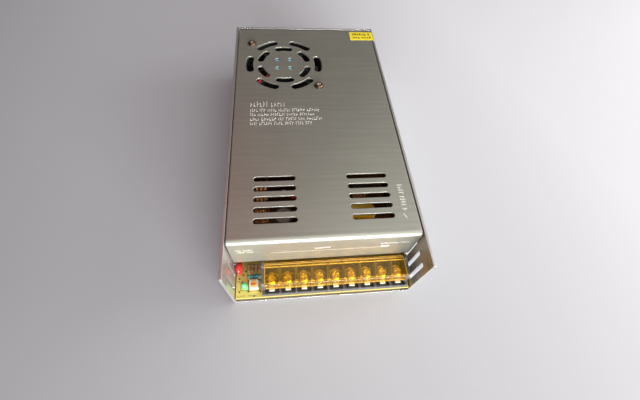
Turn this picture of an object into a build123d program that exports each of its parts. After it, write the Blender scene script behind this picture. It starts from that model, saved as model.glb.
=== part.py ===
from build123d import *
import math
import os

# Enclosed switching power supply, 215 x 115 x 50 mm, with a fan under its cover
# Millimetres: X across, Y from the terminals at the front (-Y) to the back, Z up
# The origin lies on the floor under the middle of the casing

# Round forms that stay out of sight are drawn with flat sides, which keeps the facets few
hidden_sides = 12
ring_sides = 24

# Casing, folded from one aluminium sheet
case_length = 215.0
case_width = 115.0
case_height = 50.0
sheet = 1.5
bend_inside = 0.6
corner_gap = 0.5
fold_overlap = 1.0

# Cover, folded from a thinner sheet
cover_sheet = 1.2
cover_side_gap = 0.5
cover_back_gap = 1.5
bay_depth = 19.0
flange_past_lid = 0.5
cover_bend = 3.0
side_flange = 10.0
side_flange_relief = 1.0
cover_edge = 0.6

# Vent slots in the cover: two groups side by side
vent_length = 25.4
vent_width = 3.5
vent_pitch = 7.1
vent_rows = 5
vent_spread = 56.8
vent_setback = 13.2

# Vent slots in the side walls
wall_slot_top = 13.0
wall_slot_width = 2.8
wall_slot_pitch = 7.4
wall_slot_start = 5.8
wall_slot_sill = 10.5
wall_slot_land = 4.0
wall_slot_corner = 0.3

# Fan and the grill above it
fan_size = 60.0
fan_depth = 15.0
fan_hole_pitch = 50.0
fan_hole_radius = 2.15
fan_room_left = 0.2034
fan_from_back = 47.1
fan_flange = 3.5
fan_corner = 2.6
fan_ring_wall = 1.2
fan_bore_radius = 28.8
motor_radius = 15.0
motor_thickness = 2.6
motor_drop = 0.9
strut_width = 2.4
strut_thickness = 2.0
lead_strut_width = 5.0
stator_gap = 1.0
shaft_radius = 1.0
shaft_clearance = 0.05
rotor_gap = 0.8
rotor_wall = 1.2
hub_radius = 14.6
hub_height = 9.5
blade_count = 7
blade_tip_gap = 0.8
blade_root_sunk = 0.9
blade_root_chord = 12.0
blade_tip_chord = 15.0
blade_root_pitch = 42.0
blade_tip_pitch = 30.0
blade_thickness = 1.1
blade_camber = 1.6
grill_outer_radius = 26.6
grill_outer_width = 5.6
grill_outer_sweep = 28.0
grill_web = 2.7
grill_inner_width = 5.0
grill_inner_sweep = 28.0
grill_arcs = 6
centre_hole_radius = 1.9
centre_hole_pitch = 10.0

# Leads from the fan to its plug on the board
lead_radius = 0.55
lead_sides = 8
lead_spread = 0.9
lead_top_gap = 0.3
lead_drop_radius = 31.6
lead_waist = 7.2
lead_bend = 2.4
lead_clear = 4.0
lead_notch_width = 4.6
lead_notch_end = 32.9
strut_drop = 1.5

# Board and its fixings
standoff_height = 4.5
standoff_radius = 3.0
board_thickness = 1.6
board_side_gap = 0.5
board_end_gap = 0.5
board_screw_inset = 5.5
board_screw_front = 27.5
board_screw_back = 7.0
board_hole_gap = 0.2

# Small screws: radius of the thread, its clearance, and the head
m3_radius = 1.5
thread_clearance = 0.05
m3_head_radius = 2.8
m3_head_height = 1.8
m3_head_edge = 0.6
board_screw_length = 6.0
wall_head_radius = 2.8
fan_screw_radius = 2.0
fan_screw_head_radius = 3.1
fan_screw_head_height = 1.4
fan_screw_length = 11.0
cross_slot_width = 1.0
cross_slot_length = 3.6
cross_slot_depth = 0.8

# Terminal block
way_pitch = 10.0
barrier = 1.6
block_depth = 16.6
block_setback = 0.4
block_side_margin = 2.5
adjuster_strip = 16.5
seat_height = 4.4
sill_height = 3.8
sill_thickness = 0.8
pit_depth = 3.9
pit_floor = 1.4
barrier_height = 13.4
barrier_foot_height = 5.0
barrier_chamfer = 1.2
back_wall = 1.5
plate_thickness = 1.0
plate_side_gap = 0.4
plate_tab_width = 3.4
plate_tab_reach = 1.6
plate_shoulder = 3.4
plate_point = 5.4
tail_width = 3.0
tail_thickness = 0.8
tail_setback = 3.6
tail_clearance = 0.1
tail_below_board = 1.4
screw_setback = 8.1
screw_radius = 1.75
screw_fit = 0.05
screw_head_radius = 3.1
screw_head_height = 2.4
screw_head_dome = 0.7
screw_reach = 2.6
screw_well_gap = 0.4
screw_well_bottom = 0.6
washer_size = 7.2
washer_thickness = 0.8
washer_corner = 1.2
washer_fit = 0.1
seat_gap = 0.1

# Hinged lid over the terminals
lid_thickness = 1.2
lid_gap = 0.3
lip_thickness = 1.0
lip_setback = 2.5
lip_length = 7.8
barrel_radius = 1.5
pivot_radius = 0.9
pivot_clearance = 0.05
pivot_reach = 1.3
ear_margin = 0.9

# Adjuster, lamp and small parts on the open strip of board
led_inset = 5.3
led_row = 7.2
led_radius = 1.5
led_height = 5.0
led_flange_radius = 1.9
led_flange_height = 1.0
trimmer_inset = 11.3
trimmer_row = 7.6
trimmer_width = 5.4
trimmer_length = 5.4
trimmer_height = 4.2
trimmer_edge = 0.5
trimmer_rotor_radius = 1.8
trimmer_rotor_gap = 0.1
trimmer_recess = 1.2
trimmer_rotor_height = 2.1
trimmer_pin_radius = 0.8
trimmer_pin_length = 1.5
trimmer_slot = 0.9
adjust_resistor_row = 13.0
adjust_resistor_length = 5.4
adjust_resistor_radius = 1.25
small_resistor_row = 18.0
small_resistor_length = 3.4
small_resistor_radius = 0.85
small_resistor_pitch = 2.3
small_resistor_count = 4
resistor_lead_radius = 0.3
resistor_lead_span = 1.3
resistor_lift = 0.3
disc_radius = 4.2
disc_thickness = 3.4
disc_inset = 2.3
disc_row = 18.0
disc_lift = 0.8
disc_edge = 1.3
disc_lead_spread = 2.5

# Voltage selector behind the right wall
selector_from_front = 66.0
selector_level = 24.0
selector_length = 23.0
selector_height = 12.0
selector_depth = 8.0
selector_boss_length = 13.4
selector_boss_height = 7.0
selector_boss_gap = 0.2
selector_recess_length = 10.4
selector_recess_height = 5.4
selector_recess_depth = 4.6
slider_length = 5.6
slider_gap = 0.2
slider_sunk = 0.3
slider_rib = 0.7

# Parts inside that stand towards the front, measured from the front of the casing
output_choke_inset = 14.5
output_choke_row = 63.0
output_choke_headroom = 8.2
output_choke_ring = 6.5
output_choke_width = 11.0
output_choke_wire = 1.5
output_choke_turns = 16
output_cap_inset = 31.5
output_cap_pitch = 15.0
output_cap_row = 32.0
output_cap_radius = 6.25
output_cap_height = 20.0
line_choke_inset = 27.5
line_choke_row = 67.0
line_choke_outer = 10.5
line_choke_inner = 5.5
line_choke_width = 8.0
line_choke_wire = 1.0
line_choke_turns = 8
line_choke_sweep = 120.0
x_cap_inset = 31.5
x_cap_row = 49.0
x_cap_length = 26.0
x_cap_width = 10.0
x_cap_height = 18.5
x_cap_edge = 1.2
fuse_inset = 14.0
fuse_row = 38.0
fuse_length = 20.0
fuse_radius = 2.6
fuse_cap_length = 5.0
fuse_cap_skin = 0.25
fuse_lift = 1.4
clip_thickness = 0.5
clip_length = 4.0
clip_gap = 0.1
thermistor_inset = 28.0
thermistor_row = 36.0
thermistor_radius = 6.5
thermistor_thickness = 4.5
thermistor_edge = 1.2
thermistor_lift = 2.5
thermistor_lead_radius = 0.5

# Parts inside that stand towards the back, measured from the back of the casing
transformer_clear = 8.0
transformer_from_back = 99.0
core_width = 40.0
core_headroom = 6.2
core_depth = 19.0
core_leg = 6.0
core_centre_leg = 12.0
core_yoke = 6.2
bobbin_flange = 1.0
bobbin_wall = 0.8
bobbin_gap = 0.2
bobbin_overhang = 8.5
bobbin_foot = 2.0
bobbin_rail = 3.0
winding_depth = 7.0
winding_corner = 2.0
winding_gap = 0.1
bulk_room_right = 0.1822
bulk_cap_from_back = 29.0
bulk_cap_pitch = 27.0
bulk_cap_radius = 12.5
bulk_cap_headroom = 6.2
can_crimp = 0.8
bridge_inset = 15.5
bridge_from_back = 104.0
bridge_length = 22.0
bridge_height = 18.0
bridge_thickness = 6.0
bridge_lift = 4.0
bridge_corner = 3.0
bridge_lead_pitch = 5.0
bridge_lead = 1.0
device_from_back = 99.0
device_pitch = 20.0
device_width = 15.6
device_height = 20.0
device_thickness = 4.8
device_lift = 5.0
device_lead_pitch = 5.0
device_lead_width = 1.2
device_lead_thickness = 0.6
clamp_height = 8.0
clamp_thickness = 1.8
clamp_end = 4.0
clamp_corner = 2.0
clamp_screw_past = 1.2
ic_length = 19.3
ic_width = 6.4
ic_height = 3.4
ic_lift = 0.5
ic_pins = 8
ic_pin_pitch = 2.54
ic_pin_width = 0.6
ic_pin_spread = 7.6
plug_width = 7.0
plug_depth = 5.0
plug_height = 7.0
plug_step = 0.6

# Cover screws in the side walls, and the mounting holes
cover_screw_front = 24.0
cover_screw_back = 24.0
cover_screw_drop = 5.5
cover_screw_past = 1.5
mount_radius = 1.65
mount_length = 150.0
mount_width = 50.0
side_mount_level = 25.0

# Seal across the joint between cover and casing
seal_side_margin = 0.5
seal_length = 20.0
seal_width = 10.7
seal_thickness = 0.12
seal_from_back = 10.4

# Levels and edges that follow
front = -case_length / 2
back = case_length / 2
wall_face = case_width / 2
inner_half = wall_face - sheet
bend_outside = bend_inside + sheet
cut_past = 2 * sheet
cover_half = inner_half - cover_side_gap
cover_front = front + bay_depth
cover_back = back - sheet - cover_back_gap
cover_length = cover_back - cover_front
cover_under = case_height - cover_sheet
fan_y = back - fan_from_back
fan_bottom = cover_under - fan_depth
board_half = inner_half - board_side_gap
board_front = front + board_end_gap
board_back = back - sheet - board_end_gap
board_under = sheet + standoff_height
board_top = board_under + board_thickness
bulk_cap_height = cover_under - board_top - bulk_cap_headroom
cover_inner = cover_half - cover_sheet
side_room = 2 * cover_inner - fan_size - 2 * bulk_cap_radius
fan_x = fan_size / 2 - cover_inner + side_room * fan_room_left
bulk_cap_x = cover_inner - bulk_cap_radius - side_room * bulk_room_right
core_bottom = board_top + bobbin_foot
core_height = cover_under - core_bottom - core_headroom
output_choke_outer = (cover_under - board_top - output_choke_headroom) / 2 - output_choke_wire
output_choke_inner = output_choke_outer - output_choke_ring
wall_slot_height = case_height - wall_slot_sill - wall_slot_top
grill_inner_radius = grill_outer_radius - grill_web - (grill_outer_width + grill_inner_width) / 2
block_front = board_front + block_setback
block_back = block_front + block_depth
ways = int((2 * board_half - adjuster_strip - block_side_margin - barrier) / way_pitch)
block_width = ways * way_pitch + barrier
block_right = board_half - block_side_margin
block_left = block_right - block_width
way_places = [block_left + barrier / 2 + way_pitch * (n + 0.5) for n in range(ways)]
barrier_places = [block_left + barrier / 2 + way_pitch * n for n in range(ways + 1)]
cell_width = way_pitch - barrier
screw_y = block_front + screw_setback
seat_z = board_top + seat_height
plate_top = seat_z + plate_thickness
barrier_top = board_top + barrier_height
lid_under = barrier_top + lid_gap
lid_top = lid_under + lid_thickness
flange_bottom = lid_top - flange_past_lid
front_flange = case_height - flange_bottom
pivot_y = block_back - barrel_radius
pivot_z = lid_top - barrel_radius
ear_radius = barrel_radius + ear_margin
lip_front = block_front + lip_setback
lip_back = lip_front + lip_thickness
washer_bottom = plate_top + seat_gap
washer_top = washer_bottom + washer_thickness
head_bottom = washer_top + seat_gap / 2
head_top = head_bottom + screw_head_height
screw_bottom = seat_z - screw_reach
back_wall_top = pivot_z - barrel_radius - lid_gap
barrel_left = block_left + barrier + lid_gap
barrel_length = block_width - 2 * (barrier + lid_gap)
tail_y = screw_y + tail_setback
plate_half = cell_width / 2 - plate_side_gap
strut_top = cover_under - strut_drop
motor_top = cover_under - motor_drop
motor_bottom = motor_top - motor_thickness
hub_bottom = motor_bottom - rotor_gap - hub_height
stator_radius = hub_radius - rotor_wall - stator_gap
stator_height = hub_height - rotor_wall
bearing_depth = stator_height + motor_thickness / 2
shaft_length = rotor_wall + rotor_gap + stator_height
blade_tip_radius = fan_bore_radius - blade_tip_gap
blade_tip_reach = blade_tip_chord / 2 * math.cos(math.radians(blade_tip_pitch))
blade_tip_plane = math.sqrt(blade_tip_radius**2 - blade_tip_reach**2)
lead_level = cover_under - lead_top_gap - lead_radius
lead_plane = Plane(origin=(fan_x, fan_y, 0), x_dir=(-1, -1, 0), z_dir=(0, 0, 1))
plug_x = fan_x - lead_drop_radius / math.sqrt(2)
plug_y = fan_y - fan_size / 2 - lead_clear
trimmer_x = trimmer_inset - board_half
trimmer_y = board_front + trimmer_row
trimmer_rotor_bottom = board_top + trimmer_height - trimmer_recess + trimmer_rotor_gap
selector_face = wall_face - slider_sunk
transformer_y = back - transformer_from_back
bridge_x = board_half - bridge_inset - bridge_thickness / 2
transformer_x = bridge_x - transformer_clear - core_width / 2
bridge_y = back - bridge_from_back
device_y = back - device_from_back
device_half_span = (device_pitch + device_width) / 2
selector_y = front + selector_from_front
slider_rest_y = selector_y - selector_recess_length / 2 + slider_gap + slider_length / 2

# Screws through the side walls: planes at the wall's outer face, pointing outwards
cover_screw_ys = [cover_front + cover_screw_front, cover_back - cover_screw_back]
cover_screw_level = case_height - cover_screw_drop
cover_screw_planes = [
    Plane(origin=(side * wall_face, y, cover_screw_level), x_dir=(0, 1, 0), z_dir=(side, 0, 0))
    for side in (-1, 1)
    for y in cover_screw_ys
]
clamp_level = board_top + device_lift + device_height / 2
clamp_screw_planes = [
    Plane(origin=(side * wall_face, device_y, clamp_level), x_dir=(0, 1, 0), z_dir=(side, 0, 0))
    for side in (-1, 1)
]
wall_cone_height = wall_head_radius - m3_radius
cover_screw_length = wall_face - cover_half + cover_sheet + cover_screw_past
clamp_screw_length = sheet + device_thickness + clamp_thickness + clamp_screw_past

# Wall slots run the whole length, but skip every hole, clamped device and the selector
kept_solid = [
    (-mount_length / 2, mount_radius),
    (mount_length / 2, mount_radius),
    (device_y, device_half_span),
    (selector_y, selector_length / 2),
]
slot_count = int((case_length - 2 * wall_slot_start) / wall_slot_pitch) + 1
slot_ys = [front + wall_slot_start + wall_slot_pitch * n for n in range(slot_count)]
wall_slot_ys = [
    y
    for y in slot_ys
    if all(abs(y - place) > half + wall_slot_land for place, half in kept_solid)
]

# Two screws hold the fan, at opposite corners
fan_screw_places = [
    (fan_x - fan_hole_pitch / 2, fan_y + fan_hole_pitch / 2),
    (fan_x + fan_hole_pitch / 2, fan_y - fan_hole_pitch / 2),
]
board_screw_x = board_half - board_screw_inset
board_screw_places = [
    (x, y)
    for x in (-board_screw_x, board_screw_x)
    for y in (board_front + board_screw_front, board_back - board_screw_back)
]

# Alignments: standing on a point, or hanging from it
standing = (Align.CENTER, Align.CENTER, Align.MIN)
hanging = (Align.CENTER, Align.CENTER, Align.MAX)

# Centre lines of the grill's curved slots
outer_arc = CenterArc((0, 0), grill_outer_radius, -grill_outer_sweep / 2, grill_outer_sweep)
inner_arc = CenterArc((0, 0), grill_inner_radius, -grill_inner_sweep / 2, grill_inner_sweep)

os.makedirs("parts", exist_ok=True)


# Chassis: bottom and side walls in one channel, with the back wall folded up between them
with BuildPart() as chassis:
    with BuildSketch(Plane.XZ.offset(-back)):
        with Locations((0, case_height / 2)):
            Rectangle(case_width, case_height)
        with Locations((0, sheet + case_height / 2)):
            Rectangle(2 * inner_half, case_height, mode=Mode.SUBTRACT)
        fillet(vertices().group_by(Axis.Y)[1], radius=bend_inside)
        fillet(vertices().group_by(Axis.Y)[0], radius=bend_outside)
    extrude(amount=case_length)

    # the bottom ends short of the back fold, which leaves a relief gap at each corner
    with BuildSketch(Plane.XY.offset(-sheet)):
        with Locations((0, back - bend_outside / 2)):
            Rectangle(2 * inner_half, bend_outside)
    extrude(amount=3 * sheet, mode=Mode.SUBTRACT)
    with BuildSketch(Plane.YZ.offset(corner_gap - inner_half)):
        with Locations((back - bend_outside - fold_overlap, 0)):
            Rectangle(bend_outside + fold_overlap, case_height, align=(Align.MIN, Align.MIN))
        with Locations((back - bend_outside - fold_overlap, sheet)):
            Rectangle(
                bend_inside + fold_overlap, case_height, align=(Align.MIN, Align.MIN), mode=Mode.SUBTRACT
            )
        fillet(vertices().sort_by_distance((back - sheet, sheet))[0], radius=bend_inside)
        fillet(vertices().sort_by_distance((back, 0))[0], radius=bend_outside)
    extrude(amount=2 * (inner_half - corner_gap))

    # vent slots and side mounting holes, through both walls at once
    with BuildSketch(Plane.YZ.offset(-wall_face - cut_past)):
        with Locations(*[(y, wall_slot_sill + wall_slot_height / 2) for y in wall_slot_ys]):
            Rectangle(wall_slot_width, wall_slot_height)
        chamfer(vertices(), length=wall_slot_width * wall_slot_corner)
        with Locations((0, side_mount_level)):
            with GridLocations(mount_length, 0, 2, 1):
                Circle(mount_radius)
    extrude(amount=case_width + 2 * cut_past, mode=Mode.SUBTRACT)

    # opening for the voltage selector in the right wall
    with BuildSketch(Plane.YZ.offset(inner_half - sheet)):
        with Locations((selector_y, selector_level)):
            Rectangle(
                selector_boss_length + 2 * selector_boss_gap, selector_boss_height + 2 * selector_boss_gap
            )
    extrude(amount=3 * sheet, mode=Mode.SUBTRACT)

    # mounting holes in the bottom
    with BuildSketch(Plane.XY.offset(-sheet)):
        with GridLocations(mount_width, mount_length, 2, 2):
            Circle(mount_radius)
    extrude(amount=3 * sheet, mode=Mode.SUBTRACT)

    # countersunk holes for the cover screws and the clamp screws
    with Locations(*cover_screw_planes, *clamp_screw_planes):
        CounterSinkHole(
            m3_radius + thread_clearance,
            wall_head_radius + thread_clearance,
            depth=2 * sheet,
            counter_sink_angle=90,
        )
chassis.part.label = "chassis"
export_step(chassis.part, "parts/chassis.step")


# Top cover: a plate with a deep front flange and two short side flanges
with BuildPart() as top_cover:
    with BuildSketch(Plane.YZ.offset(-cover_half)):
        with Locations((cover_front, flange_bottom)):
            Rectangle(cover_length, front_flange, align=(Align.MIN, Align.MIN))
        with Locations((cover_front + cover_sheet, flange_bottom)):
            Rectangle(
                cover_length, front_flange - cover_sheet, align=(Align.MIN, Align.MIN), mode=Mode.SUBTRACT
            )
        fillet(
            vertices().sort_by_distance((cover_front + cover_sheet, cover_under))[0],
            radius=cover_bend - cover_sheet,
        )
        fillet(vertices().sort_by_distance((cover_front, case_height))[0], radius=cover_bend)
    extrude(amount=2 * cover_half)

    # side flanges, inside the casing's walls
    with BuildSketch(Plane.XZ.offset(-cover_back)):
        with Locations((0, case_height - side_flange / 2)):
            with GridLocations(2 * cover_half - cover_sheet, 0, 2, 1):
                Rectangle(cover_sheet, side_flange)
    extrude(amount=cover_length - cover_bend - side_flange_relief)
    chamfer(edges().filter_by(Axis.Y).group_by(Axis.Z)[-1], length=cover_edge)

    # vent slots and the four holes at the fan's centre
    with BuildSketch(Plane.XY.offset(case_height)):
        with Locations((0, cover_front + vent_setback + vent_pitch * (vent_rows - 1) / 2)):
            with GridLocations(vent_spread, vent_pitch, 2, vent_rows):
                SlotOverall(vent_length, vent_width)
        with Locations((fan_x, fan_y)):
            with GridLocations(centre_hole_pitch, centre_hole_pitch, 2, 2):
                Circle(centre_hole_radius)
        with Locations(*fan_screw_places):
            RegularPolygon(fan_screw_radius + thread_clearance, hidden_sides, major_radius=False)
    extrude(amount=-2 * cover_sheet, mode=Mode.SUBTRACT)

    # fan grill: two rings of curved slots, the inner ring turned by half a step
    with BuildSketch(Plane.XY.offset(case_height)):
        with Locations((fan_x, fan_y)):
            with PolarLocations(0, grill_arcs):
                SlotArc(outer_arc, grill_outer_width)
            with PolarLocations(0, grill_arcs, start_angle=180 / grill_arcs):
                SlotArc(inner_arc, grill_inner_width)
    extrude(amount=-2 * cover_sheet, mode=Mode.SUBTRACT)

    # threaded holes for the cover screws in the side flanges
    with BuildSketch(*cover_screw_planes):
        RegularPolygon(m3_radius + thread_clearance, hidden_sides, major_radius=False)
    extrude(amount=-cover_screw_length, mode=Mode.SUBTRACT)
top_cover.part.label = "top_cover"
export_step(top_cover.part, "parts/top_cover.step")


# Countersunk screws in the side walls: four hold the cover, two pull on the clamp bars
with BuildPart() as wall_screws:
    with BuildSketch(*cover_screw_planes):
        RegularPolygon(m3_radius, hidden_sides)
    extrude(amount=-cover_screw_length)
    with BuildSketch(*clamp_screw_planes):
        RegularPolygon(m3_radius, hidden_sides)
    extrude(amount=-clamp_screw_length)
    with Locations(*cover_screw_planes, *clamp_screw_planes):
        Cone(m3_radius, wall_head_radius, wall_cone_height, align=hanging)
        Box(cross_slot_length, cross_slot_width, cross_slot_depth, align=hanging, mode=Mode.SUBTRACT)
        Box(cross_slot_width, cross_slot_length, cross_slot_depth, align=hanging, mode=Mode.SUBTRACT)
wall_screws.part.label = "wall_screws"
export_step(wall_screws.part, "parts/wall_screws.step")


# Fan screws: round heads on the cover, threads in the fan's corner holes
with BuildPart() as fan_screws:
    with BuildSketch(Plane.XY.offset(case_height)):
        with Locations(*fan_screw_places):
            RegularPolygon(fan_screw_radius, hidden_sides)
    extrude(amount=-fan_screw_length)
    with Locations(*[(x, y, case_height) for x, y in fan_screw_places]):
        Cylinder(fan_screw_head_radius, fan_screw_head_height, align=standing)
    chamfer(edges().filter_by(GeomType.CIRCLE).group_by(Axis.Z)[-1], length=fan_screw_head_height / 2)
    with Locations(*[(x, y, case_height + fan_screw_head_height) for x, y in fan_screw_places]):
        Box(cross_slot_length, cross_slot_width, cross_slot_depth, align=hanging, mode=Mode.SUBTRACT)
        Box(cross_slot_width, cross_slot_length, cross_slot_depth, align=hanging, mode=Mode.SUBTRACT)
fan_screws.part.label = "fan_screws"
export_step(fan_screws.part, "parts/fan_screws.step")


# Fan frame: two square flanges on a round duct, the motor held by four struts
with BuildPart() as fan_frame:
    with BuildSketch(Plane.XY.offset(fan_bottom)):
        with Locations((fan_x, fan_y)):
            Circle(fan_bore_radius + fan_ring_wall)
    extrude(amount=fan_depth)
    with BuildSketch(Plane.XY.offset(fan_bottom), Plane.XY.offset(cover_under - fan_flange)):
        with Locations((fan_x, fan_y)):
            Rectangle(fan_size, fan_size)
        chamfer(vertices(), length=fan_corner)
    extrude(amount=fan_flange)
    with BuildSketch(Plane.XY.offset(fan_bottom)):
        with Locations((fan_x, fan_y)):
            Circle(fan_bore_radius)
            with GridLocations(fan_hole_pitch, fan_hole_pitch, 2, 2):
                RegularPolygon(fan_hole_radius, hidden_sides, major_radius=False)
    extrude(amount=fan_depth, mode=Mode.SUBTRACT)

    # struts, the one under the leads wider
    with BuildSketch(Plane.XY.offset(strut_top)):
        with Locations((fan_x, fan_y)):
            with PolarLocations(0, 4, start_angle=45):
                Rectangle(fan_bore_radius + fan_ring_wall / 2, strut_width, align=(Align.MIN, Align.CENTER))
    extrude(amount=-strut_thickness)
    with BuildSketch(lead_plane.offset(strut_top)):
        Rectangle(fan_bore_radius + fan_ring_wall / 2, lead_strut_width, align=(Align.MIN, Align.CENTER))
    extrude(amount=-strut_thickness)

    # motor plate and stator, with the bearing for the rotor's shaft
    with Locations((fan_x, fan_y, motor_bottom)):
        Cylinder(motor_radius, motor_thickness, align=standing)
        Cylinder(stator_radius, stator_height, align=hanging)
    with BuildSketch(Plane.XY.offset(motor_bottom - stator_height)):
        with Locations((fan_x, fan_y)):
            RegularPolygon(shaft_radius + shaft_clearance, hidden_sides, major_radius=False)
    extrude(amount=bearing_depth, mode=Mode.SUBTRACT)

    # notch where the leads leave the duct and turn down between the flanges
    with BuildSketch(lead_plane.offset(cover_under)):
        with Locations((lead_notch_end, 0)):
            Rectangle(
                lead_notch_end - fan_bore_radius + fan_ring_wall,
                lead_notch_width,
                align=(Align.MAX, Align.CENTER),
            )
    extrude(amount=-strut_drop, mode=Mode.SUBTRACT)
    with BuildSketch(lead_plane.offset(cover_under)):
        with Locations((lead_notch_end, 0)):
            Rectangle(
                lead_notch_end - fan_bore_radius - fan_ring_wall,
                lead_notch_width,
                align=(Align.MAX, Align.CENTER),
            )
    extrude(amount=-fan_flange, mode=Mode.SUBTRACT)
fan_frame.part.label = "fan_frame"
export_step(fan_frame.part, "parts/fan_frame.step")


# Fan rotor: a cup with a shaft, and bent blades that flatten towards their tips
with BuildPart() as blade:
    for radius, chord, pitch in (
        (hub_radius - blade_root_sunk, blade_root_chord, blade_root_pitch),
        (blade_tip_plane, blade_tip_chord, blade_tip_pitch),
    ):
        along = Vector(math.cos(math.radians(pitch)), math.sin(math.radians(pitch)))
        across = Vector(-along.Y, along.X)
        with BuildSketch(Plane(origin=(radius, 0, 0), x_dir=(0, 1, 0), z_dir=(1, 0, 0))):
            with BuildLine():
                Polyline(
                    along * (-chord / 2),
                    across * (blade_camber + blade_thickness / 2),
                    along * (chord / 2),
                    across * (blade_camber - blade_thickness / 2),
                    close=True,
                )
            make_face()
    loft(ruled=True)

with BuildPart() as fan_rotor:
    with Locations((fan_x, fan_y, hub_bottom)):
        Cylinder(hub_radius, hub_height, align=standing)
    with Locations((fan_x, fan_y, hub_bottom + hub_height / 2)):
        with PolarLocations(0, blade_count):
            add(blade.part)
    with Locations((fan_x, fan_y, hub_bottom + rotor_wall)):
        Cylinder(hub_radius - rotor_wall, hub_height, align=standing, mode=Mode.SUBTRACT)
    with BuildSketch(Plane.XY.offset(hub_bottom)):
        with Locations((fan_x, fan_y)):
            RegularPolygon(shaft_radius, hidden_sides)
    extrude(amount=shaft_length)
fan_rotor.part.label = "fan_rotor"
export_step(fan_rotor.part, "parts/fan_rotor.step")


# Fan leads: along the wide strut, down through the notch, out of the frame and into the plug
for name, side in (("fan_lead_red", -1), ("fan_lead_black", 1)):
    start = lead_plane.from_local_coords((motor_radius + thread_clearance, side * lead_spread, lead_level))
    turn = lead_plane.from_local_coords((lead_drop_radius, side * lead_spread, lead_level))
    waist = Vector(turn.X, turn.Y, cover_under - lead_waist)
    outside = Vector(turn.X, plug_y, waist.Z)
    end = Vector(turn.X, plug_y, board_top + plug_height)
    with BuildPart() as fan_lead:
        with BuildLine():
            FilletPolyline(start, turn, waist, outside, end, radius=lead_bend)
        with BuildSketch(Plane(origin=start, z_dir=turn - start)):
            RegularPolygon(lead_radius, lead_sides)
        sweep()
    fan_lead.part.label = name
    export_step(fan_lead.part, f"parts/{name}.step")


# Plug and header where the fan's leads meet the board
with BuildPart() as fan_plug:
    with BuildSketch(Plane.XY.offset(board_top)):
        with Locations((plug_x, plug_y)):
            Rectangle(plug_width, plug_depth)
    extrude(amount=plug_height)
    with BuildSketch(Plane.XY.offset(board_top + plug_height / 2)):
        with Locations((plug_x, plug_y)):
            Rectangle(plug_width, plug_depth)
            Rectangle(plug_width - 2 * plug_step, plug_depth - 2 * plug_step, mode=Mode.SUBTRACT)
    extrude(amount=plug_height / 2, mode=Mode.SUBTRACT)
fan_plug.part.label = "fan_plug"
export_step(fan_plug.part, "parts/fan_plug.step")


# Board standoffs, six-sided, riveted to the bottom
with BuildPart() as board_standoffs:
    with BuildSketch(Plane.XY.offset(sheet)):
        with Locations(*board_screw_places):
            RegularPolygon(standoff_radius, 6)
            RegularPolygon(
                m3_radius + thread_clearance, hidden_sides, major_radius=False, mode=Mode.SUBTRACT
            )
    extrude(amount=standoff_height)
board_standoffs.part.label = "board_standoffs"
export_step(board_standoffs.part, "parts/board_standoffs.step")


# Board screws
with BuildPart() as board_screws:
    with BuildSketch(Plane.XY.offset(board_top)):
        with Locations(*board_screw_places):
            RegularPolygon(m3_radius, hidden_sides)
    extrude(amount=-board_screw_length)
    with BuildSketch(Plane.XY.offset(board_top)):
        with Locations(*board_screw_places):
            RegularPolygon(m3_head_radius, hidden_sides)
    extrude(amount=m3_head_height)
    chamfer(faces().group_by(Axis.Z)[-1].edges(), length=m3_head_edge)
    with Locations(*[(x, y, board_top + m3_head_height) for x, y in board_screw_places]):
        Box(cross_slot_length, cross_slot_width, cross_slot_depth, align=hanging, mode=Mode.SUBTRACT)
        Box(cross_slot_width, cross_slot_length, cross_slot_depth, align=hanging, mode=Mode.SUBTRACT)
board_screws.part.label = "board_screws"
export_step(board_screws.part, "parts/board_screws.step")


# Circuit board, with its screw holes and the slots for the terminals' tails
with BuildPart() as circuit_board:
    with BuildSketch(Plane.XY.offset(board_under)):
        with Locations((0, (board_front + board_back) / 2)):
            Rectangle(2 * board_half, board_back - board_front)
        with Locations(*board_screw_places):
            RegularPolygon(
                m3_radius + board_hole_gap, hidden_sides, major_radius=False, mode=Mode.SUBTRACT
            )
        with Locations(*[(x, tail_y) for x in way_places]):
            Rectangle(
                tail_width + 2 * tail_clearance, tail_thickness + 2 * tail_clearance, mode=Mode.SUBTRACT
            )
    extrude(amount=board_thickness)
circuit_board.part.label = "circuit_board"
export_step(circuit_board.part, "parts/circuit_board.step")


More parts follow.
